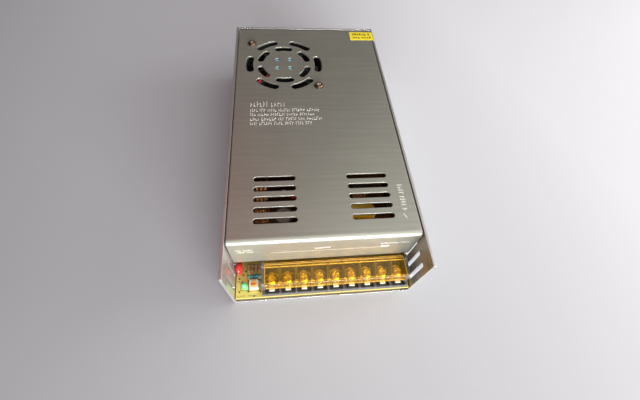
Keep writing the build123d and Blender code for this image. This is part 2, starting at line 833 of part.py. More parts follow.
# Terminal housing: a moulded comb, with a pit in front of each plate and a well under each screw
with BuildPart() as terminal_housing:
    with BuildSketch(Plane.XY.offset(board_top)):
        with Locations((block_left, block_front)):
            Rectangle(block_width, block_depth, align=(Align.MIN, Align.MIN))
    extrude(amount=seat_height)
    with BuildSketch(Plane.XY.offset(board_top + sill_height)):
        with Locations(*[(x, block_front) for x in way_places]):
            Rectangle(cell_width, sill_thickness + pit_depth, align=(Align.CENTER, Align.MIN))
    extrude(amount=seat_height, mode=Mode.SUBTRACT)
    with BuildSketch(Plane.XY.offset(board_top + pit_floor)):
        with Locations(*[(x, block_front + sill_thickness) for x in way_places]):
            Rectangle(cell_width, pit_depth, align=(Align.CENTER, Align.MIN))
    extrude(amount=seat_height, mode=Mode.SUBTRACT)

    # barriers between the ways, low at the front and cut back under the lid's barrel
    with BuildSketch(*[Plane.YZ.offset(x - barrier / 2) for x in barrier_places]):
        with BuildLine():
            Polyline(
                (block_front, board_top),
                (block_front, board_top + barrier_foot_height),
                (lip_back + lid_gap, board_top + barrier_foot_height),
                (lip_back + lid_gap, barrier_top - barrier_chamfer),
                (lip_back + lid_gap + barrier_chamfer, barrier_top),
                (pivot_y - barrel_radius - lid_gap, barrier_top),
                (pivot_y - barrel_radius - lid_gap, back_wall_top),
                (block_back, back_wall_top),
                (block_back, board_top),
                close=True,
            )
        make_face()
    extrude(amount=barrier)
    with BuildSketch(Plane.XY.offset(board_top)):
        with Locations((block_left, block_back)):
            Rectangle(block_width, back_wall, align=(Align.MIN, Align.MAX))
    extrude(amount=back_wall_top - board_top)

    # end walls as high as the lid, with round ears that carry its pivots
    with BuildSketch(Plane.YZ.offset(block_left), Plane.YZ.offset(block_right - barrier)):
        with Locations((lip_front, board_top)):
            Rectangle(block_back - lip_front, pivot_z - board_top, align=(Align.MIN, Align.MIN))
        with Locations((lip_front, pivot_z)):
            Rectangle(pivot_y - lip_front, lid_top - pivot_z, align=(Align.MIN, Align.MIN))
        chamfer(vertices().sort_by_distance((lip_front, lid_top))[0], length=barrier_chamfer)
        with Locations((pivot_y, pivot_z)):
            Circle(ear_radius)
    extrude(amount=barrier)
    with BuildSketch(Plane.YZ.offset(block_left - barrier)):
        with Locations((pivot_y, pivot_z)):
            Circle(pivot_radius + pivot_clearance)
    extrude(amount=block_width + 2 * barrier, mode=Mode.SUBTRACT)

    # wells under the screws and slots for the tails
    with BuildSketch(Plane.XY.offset(seat_z)):
        with Locations(*[(x, screw_y) for x in way_places]):
            Rectangle(2 * (screw_radius + screw_well_gap), 2 * (screw_radius + screw_well_gap))
    extrude(amount=-(screw_reach + screw_well_bottom), mode=Mode.SUBTRACT)
    with BuildSketch(Plane.XY.offset(board_top)):
        with Locations(*[(x, tail_y) for x in way_places]):
            Rectangle(tail_width + 2 * tail_clearance, tail_thickness + 2 * tail_clearance)
    extrude(amount=seat_height, mode=Mode.SUBTRACT)
terminal_housing.part.label = "terminal_housing"
export_step(terminal_housing.part, "parts/terminal_housing.step")


# Terminal plates: a tab towards the wire, a threaded hole, a point at the back and a solder tail
with BuildPart() as plate:
    with BuildSketch(Plane.XY.offset(seat_z)):
        with BuildLine():
            Polyline(
                (-plate_tab_width / 2, -screw_setback + plate_tab_reach),
                (plate_tab_width / 2, -screw_setback + plate_tab_reach),
                (plate_tab_width / 2, -plate_shoulder),
                (plate_half, -plate_shoulder),
                (plate_half, plate_shoulder),
                (0, plate_point),
                (-plate_half, plate_shoulder),
                (-plate_half, -plate_shoulder),
                (-plate_tab_width / 2, -plate_shoulder),
                close=True,
            )
        make_face()
        RegularPolygon(screw_radius + screw_fit, hidden_sides, major_radius=False, mode=Mode.SUBTRACT)
    extrude(amount=plate_thickness)
    with BuildSketch(Plane.XY.offset(seat_z)):
        with Locations((0, tail_y - screw_y)):
            Rectangle(tail_width, tail_thickness)
    extrude(amount=-(seat_z - board_under + tail_below_board))

with BuildPart() as terminal_plates:
    with Locations(*[(x, screw_y) for x in way_places]):
        add(plate.part)
terminal_plates.part.label = "terminal_plates"
export_step(terminal_plates.part, "parts/terminal_plates.step")


# Each way has a square clamp washer, held between its barriers, and a screw that turns in it
for number, x in enumerate(way_places, start=1):
    with BuildPart() as clamp_washer:
        with BuildSketch(Plane.XY.offset(washer_bottom)):
            with Locations((x, screw_y)):
                Rectangle(washer_size, washer_size)
            chamfer(vertices(), length=washer_corner)
            with Locations((x, screw_y)):
                RegularPolygon(
                    screw_radius + washer_fit, hidden_sides, major_radius=False, mode=Mode.SUBTRACT
                )
        extrude(amount=washer_thickness)
    clamp_washer.part.label = f"clamp_washer_{number}"
    export_step(clamp_washer.part, f"parts/clamp_washer_{number}.step")

    with BuildPart() as terminal_screw:
        with BuildSketch(Plane.XY.offset(screw_bottom)):
            with Locations((x, screw_y)):
                RegularPolygon(screw_radius, hidden_sides)
        extrude(amount=head_bottom - screw_bottom)
        with Locations((x, screw_y, head_bottom)):
            Cylinder(screw_head_radius, screw_head_height, align=standing)
        chamfer(edges().filter_by(GeomType.CIRCLE).group_by(Axis.Z)[-1], length=screw_head_dome)
        with Locations((x, screw_y, head_top)):
            Box(cross_slot_length, cross_slot_width, cross_slot_depth, align=hanging, mode=Mode.SUBTRACT)
            Box(cross_slot_width, cross_slot_length, cross_slot_depth, align=hanging, mode=Mode.SUBTRACT)
    terminal_screw.part.label = f"terminal_screw_{number}"
    export_step(terminal_screw.part, f"parts/terminal_screw_{number}.step")


# Terminal lid: a clear plate with a front lip, a barrel along its back edge and a pivot at each end
with BuildPart() as terminal_lid:
    with BuildSketch(Plane.YZ.offset(barrel_left)):
        with Locations((lip_front, lid_top)):
            Rectangle(pivot_y - lip_front, lid_thickness, align=(Align.MIN, Align.MAX))
            Rectangle(lip_thickness, lip_length, align=(Align.MIN, Align.MAX))
        fillet(vertices().sort_by_distance((lip_front, lid_top))[0], radius=lip_thickness)
        with Locations((pivot_y, pivot_z)):
            Circle(barrel_radius)
    extrude(amount=barrel_length)
    with BuildSketch(Plane.YZ.offset(barrel_left - lid_gap - pivot_reach)):
        with Locations((pivot_y, pivot_z)):
            Circle(pivot_radius)
    extrude(amount=barrel_length + 2 * (lid_gap + pivot_reach))
terminal_lid.part.label = "terminal_lid"
export_step(terminal_lid.part, "parts/terminal_lid.step")


# Status lamp: a domed body on a flange
with BuildPart() as status_led:
    with Locations((led_inset - board_half, board_front + led_row, board_top)):
        Cylinder(led_flange_radius, led_flange_height, align=standing)
        Cylinder(led_radius, led_height, align=standing)
    chamfer(edges().filter_by(GeomType.CIRCLE).group_by(Axis.Z)[-1], length=led_radius / 2)
status_led.part.label = "status_led"
export_step(status_led.part, "parts/status_led.step")


# Voltage adjuster: a square body with a slotted rotor in its round recess
with BuildPart() as trimmer_body:
    with Locations((trimmer_x, trimmer_y, board_top)):
        Box(trimmer_width, trimmer_length, trimmer_height, align=standing)
    chamfer(edges().filter_by(Axis.Z), length=trimmer_edge)
    with Locations((trimmer_x, trimmer_y, board_top + trimmer_height)):
        Cylinder(
            trimmer_rotor_radius + trimmer_rotor_gap, trimmer_recess, align=hanging, mode=Mode.SUBTRACT
        )
    with Locations((trimmer_x, trimmer_y, board_top + trimmer_height - trimmer_recess)):
        Cylinder(
            trimmer_pin_radius + pivot_clearance,
            trimmer_pin_length + trimmer_rotor_gap,
            align=hanging,
            mode=Mode.SUBTRACT,
        )
trimmer_body.part.label = "trimmer_body"
export_step(trimmer_body.part, "parts/trimmer_body.step")

with BuildPart() as trimmer_rotor:
    with Locations((trimmer_x, trimmer_y, trimmer_rotor_bottom)):
        Cylinder(trimmer_rotor_radius, trimmer_rotor_height, align=standing)
        Cylinder(trimmer_pin_radius, trimmer_pin_length, align=hanging)
    with Locations((trimmer_x, trimmer_y, trimmer_rotor_bottom + trimmer_rotor_height)):
        Box(2 * trimmer_rotor_radius, trimmer_slot, trimmer_slot, align=hanging, mode=Mode.SUBTRACT)
        Box(trimmer_slot, trimmer_rotor_radius, trimmer_slot, align=hanging, mode=Mode.SUBTRACT)
trimmer_rotor.part.label = "trimmer_rotor"
export_step(trimmer_rotor.part, "parts/trimmer_rotor.step")


def axial_resistor(length, radius):
    """A resistor lying along X with its leads bent down, its feet at height zero."""
    level = radius + resistor_lift
    span = length + 2 * resistor_lead_span
    with BuildPart() as resistor:
        with Locations(Plane(origin=(0, 0, level), z_dir=(1, 0, 0))):
            Cylinder(radius, length)
        with BuildSketch(Plane.XZ.offset(-resistor_lead_radius)):
            with Locations((0, level / 2)):
                Rectangle(span, level)
                Rectangle(span - 4 * resistor_lead_radius, level, mode=Mode.SUBTRACT)
            with Locations((0, level)):
                Rectangle(span, 2 * resistor_lead_radius)
        extrude(amount=2 * resistor_lead_radius)
    return resistor.part


# Large film resistor beside the adjuster
with BuildPart() as adjust_resistor:
    with Locations((trimmer_x, board_front + adjust_resistor_row, board_top)):
        add(axial_resistor(adjust_resistor_length, adjust_resistor_radius))
adjust_resistor.part.label = "adjust_resistor"
export_step(adjust_resistor.part, "parts/adjust_resistor.step")


# Row of small resistors, side by side and pointing to the back
with BuildPart() as small_resistors:
    with Locations((trimmer_x, board_front + small_resistor_row, board_top)):
        with GridLocations(small_resistor_pitch, 0, small_resistor_count, 1):
            add(axial_resistor(small_resistor_length, small_resistor_radius), rotation=(0, 0, 90))
small_resistors.part.label = "small_resistors"
export_step(small_resistors.part, "parts/small_resistors.step")


def coated_disc(plane, radius, thickness, edge, lift, lead_radius, lead_spread):
    """A disc dipped in lacquer, standing on two leads; the plane is its middle, at board level."""
    with BuildPart() as disc:
        with BuildSketch(plane.offset(-thickness / 2)):
            with Locations((0, lift + radius)):
                RegularPolygon(radius, ring_sides)
        extrude(amount=thickness)
        chamfer(faces().filter_by(Axis(plane.origin, plane.z_dir)).edges(), length=edge)
        with BuildSketch(Plane(origin=plane.origin, x_dir=plane.x_dir, z_dir=plane.y_dir)):
            with GridLocations(2 * lead_spread, 0, 2, 1):
                Rectangle(2 * lead_radius, 2 * lead_radius)
        extrude(amount=lift + radius)
    return disc.part


# Red disc capacitor against the left wall
disc_plane = Plane(
    origin=(disc_inset - board_half, board_front + disc_row, board_top), x_dir=(0, 1, 0), z_dir=(1, 0, 0)
)
disc_capacitor = coated_disc(
    disc_plane, disc_radius, disc_thickness, disc_edge, disc_lift, resistor_lead_radius, disc_lead_spread
)
disc_capacitor.label = "disc_capacitor"
export_step(disc_capacitor, "parts/disc_capacitor.step")


# Inrush limiter, a thick dark disc
thermistor_plane = Plane(
    origin=(board_half - thermistor_inset, front + thermistor_row, board_top),
    x_dir=(1, 0, 0),
    z_dir=(0, -1, 0),
)
thermistor = coated_disc(
    thermistor_plane,
    thermistor_radius,
    thermistor_thickness,
    thermistor_edge,
    thermistor_lift,
    thermistor_lead_radius,
    thermistor_radius / 2,
)
thermistor.label = "thermistor"
export_step(thermistor, "parts/thermistor.step")


# Voltage selector: a moulded body behind the right wall, its boss filling the opening
with BuildPart() as selector_body:
    with BuildSketch(Plane.YZ.offset(inner_half)):
        with Locations((selector_y, selector_level)):
            Rectangle(selector_length, selector_height)
    extrude(amount=-selector_depth)
    with BuildSketch(Plane.YZ.offset(inner_half)):
        with Locations((selector_y, selector_level)):
            Rectangle(selector_boss_length, selector_boss_height)
    extrude(amount=sheet - slider_sunk)
    with BuildSketch(Plane.YZ.offset(selector_face)):
        with Locations((selector_y, selector_level)):
            Rectangle(selector_recess_length, selector_recess_height)
    extrude(amount=-selector_recess_depth, mode=Mode.SUBTRACT)
selector_body.part.label = "selector_body"
export_step(selector_body.part, "parts/selector_body.step")

with BuildPart() as selector_slider:
    with BuildSketch(Plane.YZ.offset(selector_face - selector_recess_depth + slider_gap)):
        with Locations((slider_rest_y, selector_level)):
            Rectangle(slider_length, selector_recess_height - 2 * slider_gap)
    extrude(amount=selector_recess_depth - slider_gap)
    with BuildSketch(Plane.YZ.offset(selector_face)):
        with Locations((slider_rest_y, selector_level)):
            Rectangle(slider_rib, selector_recess_height)
    extrude(amount=-slider_rib, mode=Mode.SUBTRACT)
selector_slider.part.label = "selector_slider"
export_step(selector_slider.part, "parts/selector_slider.step")


def ring_core(plane, outer, inner, width):
    """A ring core round the plane's normal."""
    with BuildPart() as core:
        with BuildSketch(plane.offset(-width / 2)):
            RegularPolygon(outer, ring_sides)
            RegularPolygon(inner, ring_sides, mode=Mode.SUBTRACT)
        extrude(amount=width)
    return core.part


def ring_winding(plane, outer, inner, width, wire, turns, sweep):
    """Turns of wire round part of a ring core, centred on the plane's X axis, with the core left out."""
    middle = (outer + inner) / 2
    half = math.radians(sweep / 2)
    far = 4 * outer
    with BuildPart() as winding:
        with BuildSketch(plane.offset(-(width + wire) / 2)):
            RegularPolygon(outer + wire / 2, ring_sides)
            RegularPolygon(inner - wire / 2, ring_sides, mode=Mode.SUBTRACT)
            if sweep < 180:
                with BuildLine():
                    Polyline(
                        (0, 0),
                        (far * math.cos(half), -far * math.sin(half)),
                        (far * math.cos(half), far * math.sin(half)),
                        close=True,
                    )
                make_face(mode=Mode.INTERSECT)
        extrude(amount=width + wire)
        with Locations(plane):
            with PolarLocations(
                middle, turns, start_angle=(sweep / turns - sweep) / 2, angular_range=sweep
            ):
                Box(outer - inner + 2 * wire, wire, width + 2 * wire)
        with BuildSketch(plane.offset(-width / 2 - winding_gap)):
            RegularPolygon(outer + winding_gap, ring_sides)
            RegularPolygon(inner - winding_gap, ring_sides, mode=Mode.SUBTRACT)
        extrude(amount=width + 2 * winding_gap, mode=Mode.SUBTRACT)
    return winding.part


# Output choke: a powder ring standing on its winding of thick wire
output_choke_plane = Plane(
    origin=(
        output_choke_inset - board_half,
        front + output_choke_row,
        board_top + output_choke_outer + output_choke_wire,
    ),
    x_dir=(0, 1, 0),
    z_dir=(1, 0, 0),
)
output_choke_core = ring_core(
    output_choke_plane, output_choke_outer, output_choke_inner, output_choke_width
)
output_choke_core.label = "output_choke_core"
export_step(output_choke_core, "parts/output_choke_core.step")
output_choke_winding = ring_winding(
    output_choke_plane,
    output_choke_outer,
    output_choke_inner,
    output_choke_width,
    output_choke_wire,
    output_choke_turns,
    360,
)
output_choke_winding.label = "output_choke_winding"
export_step(output_choke_winding, "parts/output_choke_winding.step")


# Line choke: a ring with two separate windings, one for each line
line_choke_centre = (
    board_half - line_choke_inset,
    front + line_choke_row,
    board_top + line_choke_outer,
)
line_choke_planes = [
    Plane(origin=line_choke_centre, x_dir=(0, side, 0), z_dir=(1, 0, 0)) for side in (-1, 1)
]
line_choke_core = ring_core(
    line_choke_planes[0], line_choke_outer, line_choke_inner, line_choke_width
)
line_choke_core.label = "line_choke_core"
export_step(line_choke_core, "parts/line_choke_core.step")

with BuildPart() as line_choke_windings:
    for winding_plane in line_choke_planes:
        half_winding = ring_winding(
            winding_plane,
            line_choke_outer,
            line_choke_inner,
            line_choke_width,
            line_choke_wire,
            line_choke_turns,
            line_choke_sweep,
        )
        add(half_winding)
line_choke_windings.part.label = "line_choke_windings"
export_step(line_choke_windings.part, "parts/line_choke_windings.step")


# Output capacitors, two by two
with BuildPart() as output_capacitors:
    with Locations((output_cap_inset - board_half, front + output_cap_row, board_top)):
        with Locations(*[(x * output_cap_pitch, y * output_cap_pitch) for x in (0, 1) for y in (0, 1)]):
            Cylinder(output_cap_radius, output_cap_height, align=standing)
output_capacitors.part.label = "output_capacitors"
export_step(output_capacitors.part, "parts/output_capacitors.step")


# Bulk capacitors, one behind the other beside the fan, their top edges crimped in
with BuildPart() as bulk_capacitors:
    with Locations((bulk_cap_x, back - bulk_cap_from_back, board_top)):
        with Locations((0, 0), (0, -bulk_cap_pitch)):
            Cylinder(bulk_cap_radius, bulk_cap_height, align=standing)
    chamfer(edges().filter_by(GeomType.CIRCLE).group_by(Axis.Z)[-1], length=can_crimp)
bulk_capacitors.part.label = "bulk_capacitors"
export_step(bulk_capacitors.part, "parts/bulk_capacitors.step")


# Line filter capacitor in a moulded box
with BuildPart() as x_capacitor:
    with BuildSketch(Plane.XY.offset(board_top)):
        with Locations((board_half - x_cap_inset, front + x_cap_row)):
            Rectangle(x_cap_length, x_cap_width)
    extrude(amount=x_cap_height)
    chamfer(edges().filter_by(Axis.Z), length=x_cap_edge)
    chamfer(faces().sort_by(Axis.Z)[-1].edges(), length=x_cap_edge / 2)
x_capacitor.part.label = "x_capacitor"
export_step(x_capacitor.part, "parts/x_capacitor.step")


# Fuse: a glass tube between two metal end caps
fuse_level = board_top + fuse_lift + fuse_radius + fuse_cap_skin
with BuildPart() as fuse:
    with Locations(Plane(origin=(board_half - fuse_inset, front + fuse_row, fuse_level), z_dir=(0, 1, 0))):
        Cylinder(fuse_radius, fuse_length)
        with Locations(*[(0, 0, end * (fuse_length - fuse_cap_length) / 2) for end in (-1, 1)]):
            Cylinder(fuse_radius + fuse_cap_skin, fuse_cap_length)
fuse.part.label = "fuse"
export_step(fuse.part, "parts/fuse.step")


# Fuse clips: spring rings open at the top, each on its foot
clip_inner = fuse_radius + fuse_cap_skin + clip_gap
with BuildPart() as fuse_clips:
    for end in (-1, 1):
        clip_y = front + fuse_row + end * (fuse_length - fuse_cap_length) / 2
        with BuildSketch(Plane.XZ.offset(-clip_y - clip_length / 2)):
            with Locations((board_half - fuse_inset, fuse_level)):
                Circle(clip_inner + clip_thickness)
            with Locations((board_half - fuse_inset, board_top)):
                Rectangle(clip_inner, fuse_lift + clip_thickness, align=(Align.CENTER, Align.MIN))
            with Locations((board_half - fuse_inset, fuse_level)):
                Circle(clip_inner, mode=Mode.SUBTRACT)
                Rectangle(clip_inner, 2 * clip_inner, align=(Align.CENTER, Align.MIN), mode=Mode.SUBTRACT)
        extrude(amount=clip_length)
fuse_clips.part.label = "fuse_clips"
export_step(fuse_clips.part, "parts/fuse_clips.step")


# Transformer core: two ferrite E halves round the windows
window = (core_width - core_centre_leg) / 2 - core_leg
window_height = core_height - 2 * core_yoke
window_bottom = core_bottom + core_yoke
with BuildPart() as transformer_core:
    with BuildSketch(Plane.XZ.offset(-transformer_y - core_depth / 2)):
        with Locations((transformer_x, core_bottom + core_height / 2)):
            Rectangle(core_width, core_height)
            with GridLocations(core_centre_leg + window, 0, 2, 1):
                Rectangle(window, window_height, mode=Mode.SUBTRACT)
    extrude(amount=core_depth)
transformer_core.part.label = "transformer_core"
export_step(transformer_core.part, "parts/transformer_core.step")


# Transformer bobbin: a spool on the centre leg, with two rails that stand on the board
spool_width = core_centre_leg + 2 * (bobbin_gap + bobbin_wall)
spool_depth = core_depth + 2 * (bobbin_gap + bobbin_wall)
flange_width = core_centre_leg + 2 * (window - bobbin_gap)
flange_depth = core_depth + 2 * bobbin_overhang
with BuildPart() as transformer_bobbin:
    with BuildSketch(Plane.XY.offset(window_bottom + bobbin_gap)):
        with Locations((transformer_x, transformer_y)):
            Rectangle(spool_width, spool_depth)
    extrude(amount=window_height - 2 * bobbin_gap)
    with BuildSketch(
        Plane.XY.offset(window_bottom + bobbin_gap),
        Plane.XY.offset(window_bottom + window_height - bobbin_gap - bobbin_flange),
    ):
        with Locations((transformer_x, transformer_y)):
            Rectangle(flange_width, flange_depth)
    extrude(amount=bobbin_flange)
    with BuildSketch(Plane.XY.offset(board_top)):
        with Locations((transformer_x, transformer_y)):
            with GridLocations(0, flange_depth - bobbin_rail, 1, 2):
                Rectangle(flange_width, bobbin_rail)
    extrude(amount=window_bottom + bobbin_gap - board_top)
    with BuildSketch(Plane.XY.offset(window_bottom)):
        with Locations((transformer_x, transformer_y)):
            Rectangle(core_centre_leg + 2 * bobbin_gap, core_depth + 2 * bobbin_gap)
    extrude(amount=window_height, mode=Mode.SUBTRACT)
transformer_bobbin.part.label = "transformer_bobbin"
export_step(transformer_bobbin.part, "parts/transformer_bobbin.step")


# Transformer winding, taped over
with BuildPart() as transformer_winding:
    with BuildSketch(Plane.XY.offset(window_bottom + 2 * bobbin_gap + bobbin_flange)):
        with Locations((transformer_x, transformer_y)):
            RectangleRounded(
                flange_width - 2 * bobbin_gap, spool_depth + 2 * winding_depth, winding_corner
            )
            Rectangle(spool_width + 2 * winding_gap, spool_depth + 2 * winding_gap, mode=Mode.SUBTRACT)
    extrude(amount=window_height - 2 * bobbin_flange - 4 * bobbin_gap)
transformer_winding.part.label = "transformer_winding"
export_step(transformer_winding.part, "parts/transformer_winding.step")


# Bridge rectifier: a flat moulded body with one cut corner, on four leads
with BuildPart() as bridge_rectifier:
    with BuildSketch(Plane.YZ.offset(bridge_x)):
        with Locations((bridge_y, board_top + bridge_lift)):
            Rectangle(bridge_length, bridge_height, align=(Align.CENTER, Align.MIN))
        chamfer(vertices().group_by(Axis.Y)[-1].sort_by(Axis.X)[-1], length=bridge_corner)
    extrude(amount=bridge_thickness)
    with Locations((bridge_x + bridge_thickness / 2, bridge_y, board_top)):
        with GridLocations(0, bridge_lead_pitch, 1, 4):
            Box(bridge_lead, bridge_lead, bridge_lift, align=standing)
bridge_rectifier.part.label = "bridge_rectifier"
export_step(bridge_rectifier.part, "parts/bridge_rectifier.step")


# Power devices flat against each side wall: rectifiers on the left, transistors on the right
for name, side in (("output_rectifiers", -1), ("switching_transistors", 1)):
    with BuildPart() as power_devices:
        with Locations((side * (inner_half - device_thickness / 2), device_y, board_top)):
            with GridLocations(0, device_pitch, 1, 2):
                with Locations((0, 0, device_lift)):
                    Box(device_thickness, device_width, device_height, align=standing)
                with GridLocations(0, device_lead_pitch, 1, 3):
                    Box(device_lead_thickness, device_lead_width, device_lift, align=standing)
    power_devices.part.label = name
    export_step(power_devices.part, f"parts/{name}.step")


# Clamp bars press the power devices to the walls
with BuildPart() as clamp_bars:
    for side in (-1, 1):
        clamp_x = side * (inner_half - device_thickness - clamp_thickness / 2)
        with BuildSketch(Plane.YZ.offset(clamp_x - clamp_thickness / 2)):
            with Locations((device_y, clamp_level)):
                RectangleRounded(device_pitch + 2 * clamp_end, clamp_height, clamp_corner)
                Circle(m3_radius + thread_clearance, mode=Mode.SUBTRACT)
        extrude(amount=clamp_thickness)
clamp_bars.part.label = "clamp_bars"
export_step(clamp_bars.part, "parts/clamp_bars.step")


# Control chip, low on the board under the fan
ic_pin_xs = [fan_x + ic_pin_pitch * (n - (ic_pins - 1) / 2) for n in range(ic_pins)]
with BuildPart() as control_ic:
    with Locations((fan_x, fan_y, board_top + ic_lift)):
        Box(ic_length, ic_width, ic_height, align=standing)
    with BuildSketch(*[Plane.YZ.offset(x - ic_pin_width / 2) for x in ic_pin_xs]):
        with Locations((fan_y, board_top)):
            Rectangle(ic_pin_spread, ic_lift + ic_height / 2, align=(Align.CENTER, Align.MIN))
            Rectangle(
                ic_pin_spread - 2 * ic_pin_width,
                ic_lift + ic_height / 2 - ic_pin_width,
                align=(Align.CENTER, Align.MIN),
                mode=Mode.SUBTRACT,
            )
    extrude(amount=ic_pin_width)
control_ic.part.label = "control_ic"
export_step(control_ic.part, "parts/control_ic.step")


# Paper seal across the joint between the cover and the right wall
with BuildPart() as seal_label:
    with BuildSketch(Plane.XY.offset(case_height)):
        with Locations((wall_face - seal_side_margin, back - seal_from_back)):
            Rectangle(seal_length, seal_width, align=(Align.MAX, Align.CENTER))
    extrude(amount=seal_thickness)
seal_label.part.label = "seal_label"
export_step(seal_label.part, "parts/seal_label.step")
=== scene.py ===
# %% [markdown]
# # A switching power supply, dressed for a picture
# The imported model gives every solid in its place. This lesson leaves those solids where they are and gives
# them what the construction leaves out: a camera, light, and finishes with grain, brushing and wear. It then
# adds the thin things that lie on the solids, such as prints, labels and the pressed rows on the cover.

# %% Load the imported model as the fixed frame
import math
import random

import bmesh
import bpy
from mathutils import Euler, Matrix, Vector


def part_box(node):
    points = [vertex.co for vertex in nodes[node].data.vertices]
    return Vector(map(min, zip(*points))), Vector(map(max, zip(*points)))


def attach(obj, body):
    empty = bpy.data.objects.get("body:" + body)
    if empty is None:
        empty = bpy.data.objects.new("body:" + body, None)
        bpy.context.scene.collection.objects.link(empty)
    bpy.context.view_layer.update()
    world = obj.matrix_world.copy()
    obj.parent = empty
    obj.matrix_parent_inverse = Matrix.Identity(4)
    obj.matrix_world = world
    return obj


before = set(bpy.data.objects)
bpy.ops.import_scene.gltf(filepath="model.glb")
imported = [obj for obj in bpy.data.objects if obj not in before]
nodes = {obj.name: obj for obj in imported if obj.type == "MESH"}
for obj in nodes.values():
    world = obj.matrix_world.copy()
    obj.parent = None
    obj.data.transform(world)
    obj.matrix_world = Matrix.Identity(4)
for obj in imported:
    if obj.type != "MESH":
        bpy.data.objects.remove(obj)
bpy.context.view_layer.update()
print("solids:", len(nodes))

# %% [markdown]
# ## The camera
# The photograph was taken with a wide lens from close above the terminals, so the casing narrows strongly
# towards its back. A wide lens near the object gives the same narrowing; a long lens from far away would
# lose it. Place and turn were found by fitting the casing's corners and slots to the photograph.

# %% Camera where the photograph was taken
MM = 0.001
CAMERA_PLACE = (-0.02109, -0.15735, 0.21275)
CAMERA_TURN = (0.52965, -0.067279, -0.085258)
camera_data = bpy.data.cameras.new("photo_camera")
camera_data.lens = 18.0
camera_data.sensor_width = 36.0
camera_data.clip_start = 0.01
camera = bpy.data.objects.new("photo_camera", camera_data)
camera.location = CAMERA_PLACE
camera.rotation_euler = Euler(CAMERA_TURN)
bpy.context.scene.collection.objects.link(camera)
bpy.context.scene.camera = camera
print("camera is", round(camera.location.z / MM), "mm above the floor")

# %% [markdown]
# ## Light and floor
# Bare metal shows what stands round it more than its own colour, so the light matters as much as the finish.
# A large soft lamp stands in front on the right, like a window: it whitens the front bend and throws a soft
# shadow to the left. A small one at the right lights that side wall, and a weak one overhead fills the
# shadows. The sky is pale overhead and to the right and dim low at the back, which the cover mirrors as a
# gradient, and has a rosy patch at the left, as if something red stood beside the object. The camera itself
# sees a plain pale backdrop instead of that sky.

# %% Helpers that add nodes and join sockets
def put(tree, kind, **values):
    """Adds a node; a value named after an input sets it, any other sets the node's own property."""
    made = tree.nodes.new(kind)
    for key, value in values.items():
        words = key.replace("_", " ")
        socket = next((s for s in made.inputs if s.name.lower() == words), None)
        if socket is None:
            setattr(made, key, value)
        else:
            socket.default_value = value
    return made


def join(owner, *pairs):
    """Links pairs of sockets in a material or a group's tree."""
    tree = owner.node_tree if isinstance(owner, bpy.types.Material) else owner
    for start, end in pairs:
        tree.links.new(start, end)


# %% Sky: brighter overhead and to the right, dimmer low at the back, with a rosy patch at the left
SKY_BRIGHT_WAY = (0.66, -0.40, 0.50)
SKY_LEVELS = ((0.20, 0.11), (0.37, 0.50))
ROSY_WAY = (-0.50, 0.32, 0.80)
world = bpy.data.worlds.new("soft_room")
bpy.context.scene.world = world
world.use_nodes = True
sky = world.node_tree
sky.nodes.clear()
sky_out = put(sky, "ShaderNodeOutputWorld")
sky_light = put(sky, "ShaderNodeBackground")
sky_seen = put(sky, "ShaderNodeBackground", color=(0.72, 0.72, 0.73, 1))
sky_ray = put(sky, "ShaderNodeLightPath")
sky_mix = put(sky, "ShaderNodeMixShader")
sky_place = put(sky, "ShaderNodeTexCoord")
sky_slope = put(sky, "ShaderNodeVectorMath", operation="DOT_PRODUCT")
sky_slope.inputs[1].default_value = SKY_BRIGHT_WAY
sky_ramp = put(sky, "ShaderNodeValToRGB")
sky_stops = sky_ramp.color_ramp.elements
sky_stops[0].position, sky_stops[0].color = 0.0, (0.065, 0.065, 0.063, 1)
sky_stops[1].position, sky_stops[1].color = 0.8, (0.98, 0.97, 0.94, 1)
for place, level in SKY_LEVELS:
    sky_stops.new(place).color = (level, level * 0.99, level * 0.96, 1)
rosy_slope = put(sky, "ShaderNodeVectorMath", operation="DOT_PRODUCT")
rosy_slope.inputs[1].default_value = ROSY_WAY
rosy_range = put(sky, "ShaderNodeMapRange", from_min=0.87, from_max=0.93)
rosy_blend = put(sky, "ShaderNodeMix", data_type="RGBA")
rosy_blend.inputs[7].default_value = (0.34, 0.03, 0.03, 1)
join(
    sky,
    (sky_place.outputs["Generated"], sky_slope.inputs[0]),
    (sky_place.outputs["Generated"], rosy_slope.inputs[0]),
    (rosy_slope.outputs["Value"], rosy_range.inputs["Value"]),
    (rosy_range.outputs["Result"], rosy_blend.inputs[0]),
    (sky_slope.outputs["Value"], sky_ramp.inputs["Fac"]),
    (sky_ramp.outputs["Color"], rosy_blend.inputs[6]),
    (rosy_blend.outputs[2], sky_light.inputs["Color"]),
    (sky_ray.outputs["Is Camera Ray"], sky_mix.inputs[0]),
    (sky_light.outputs["Background"], sky_mix.inputs[1]),
    (sky_seen.outputs["Background"], sky_mix.inputs[2]),
    (sky_mix.outputs["Shader"], sky_out.inputs["Surface"]),
)
print("sky nodes:", len(sky.nodes))


# %% Soft lamps, each aimed at a point of the object
def soft_lamp(name, place, target, width, height, watts, colour):
    """A rectangular lamp at a place, turned towards a point; sizes in metres."""
    data = bpy.data.lights.new(name, "AREA")
    data.shape = "RECTANGLE"
    data.size, data.size_y = width, height
    data.energy = watts
    data.color = colour
    lamp = bpy.data.objects.new(name, data)
    lamp.location = place
    lamp.rotation_euler = (Vector(target) - Vector(place)).to_track_quat("-Z", "Y").to_euler()
    bpy.context.scene.collection.objects.link(lamp)
    return lamp


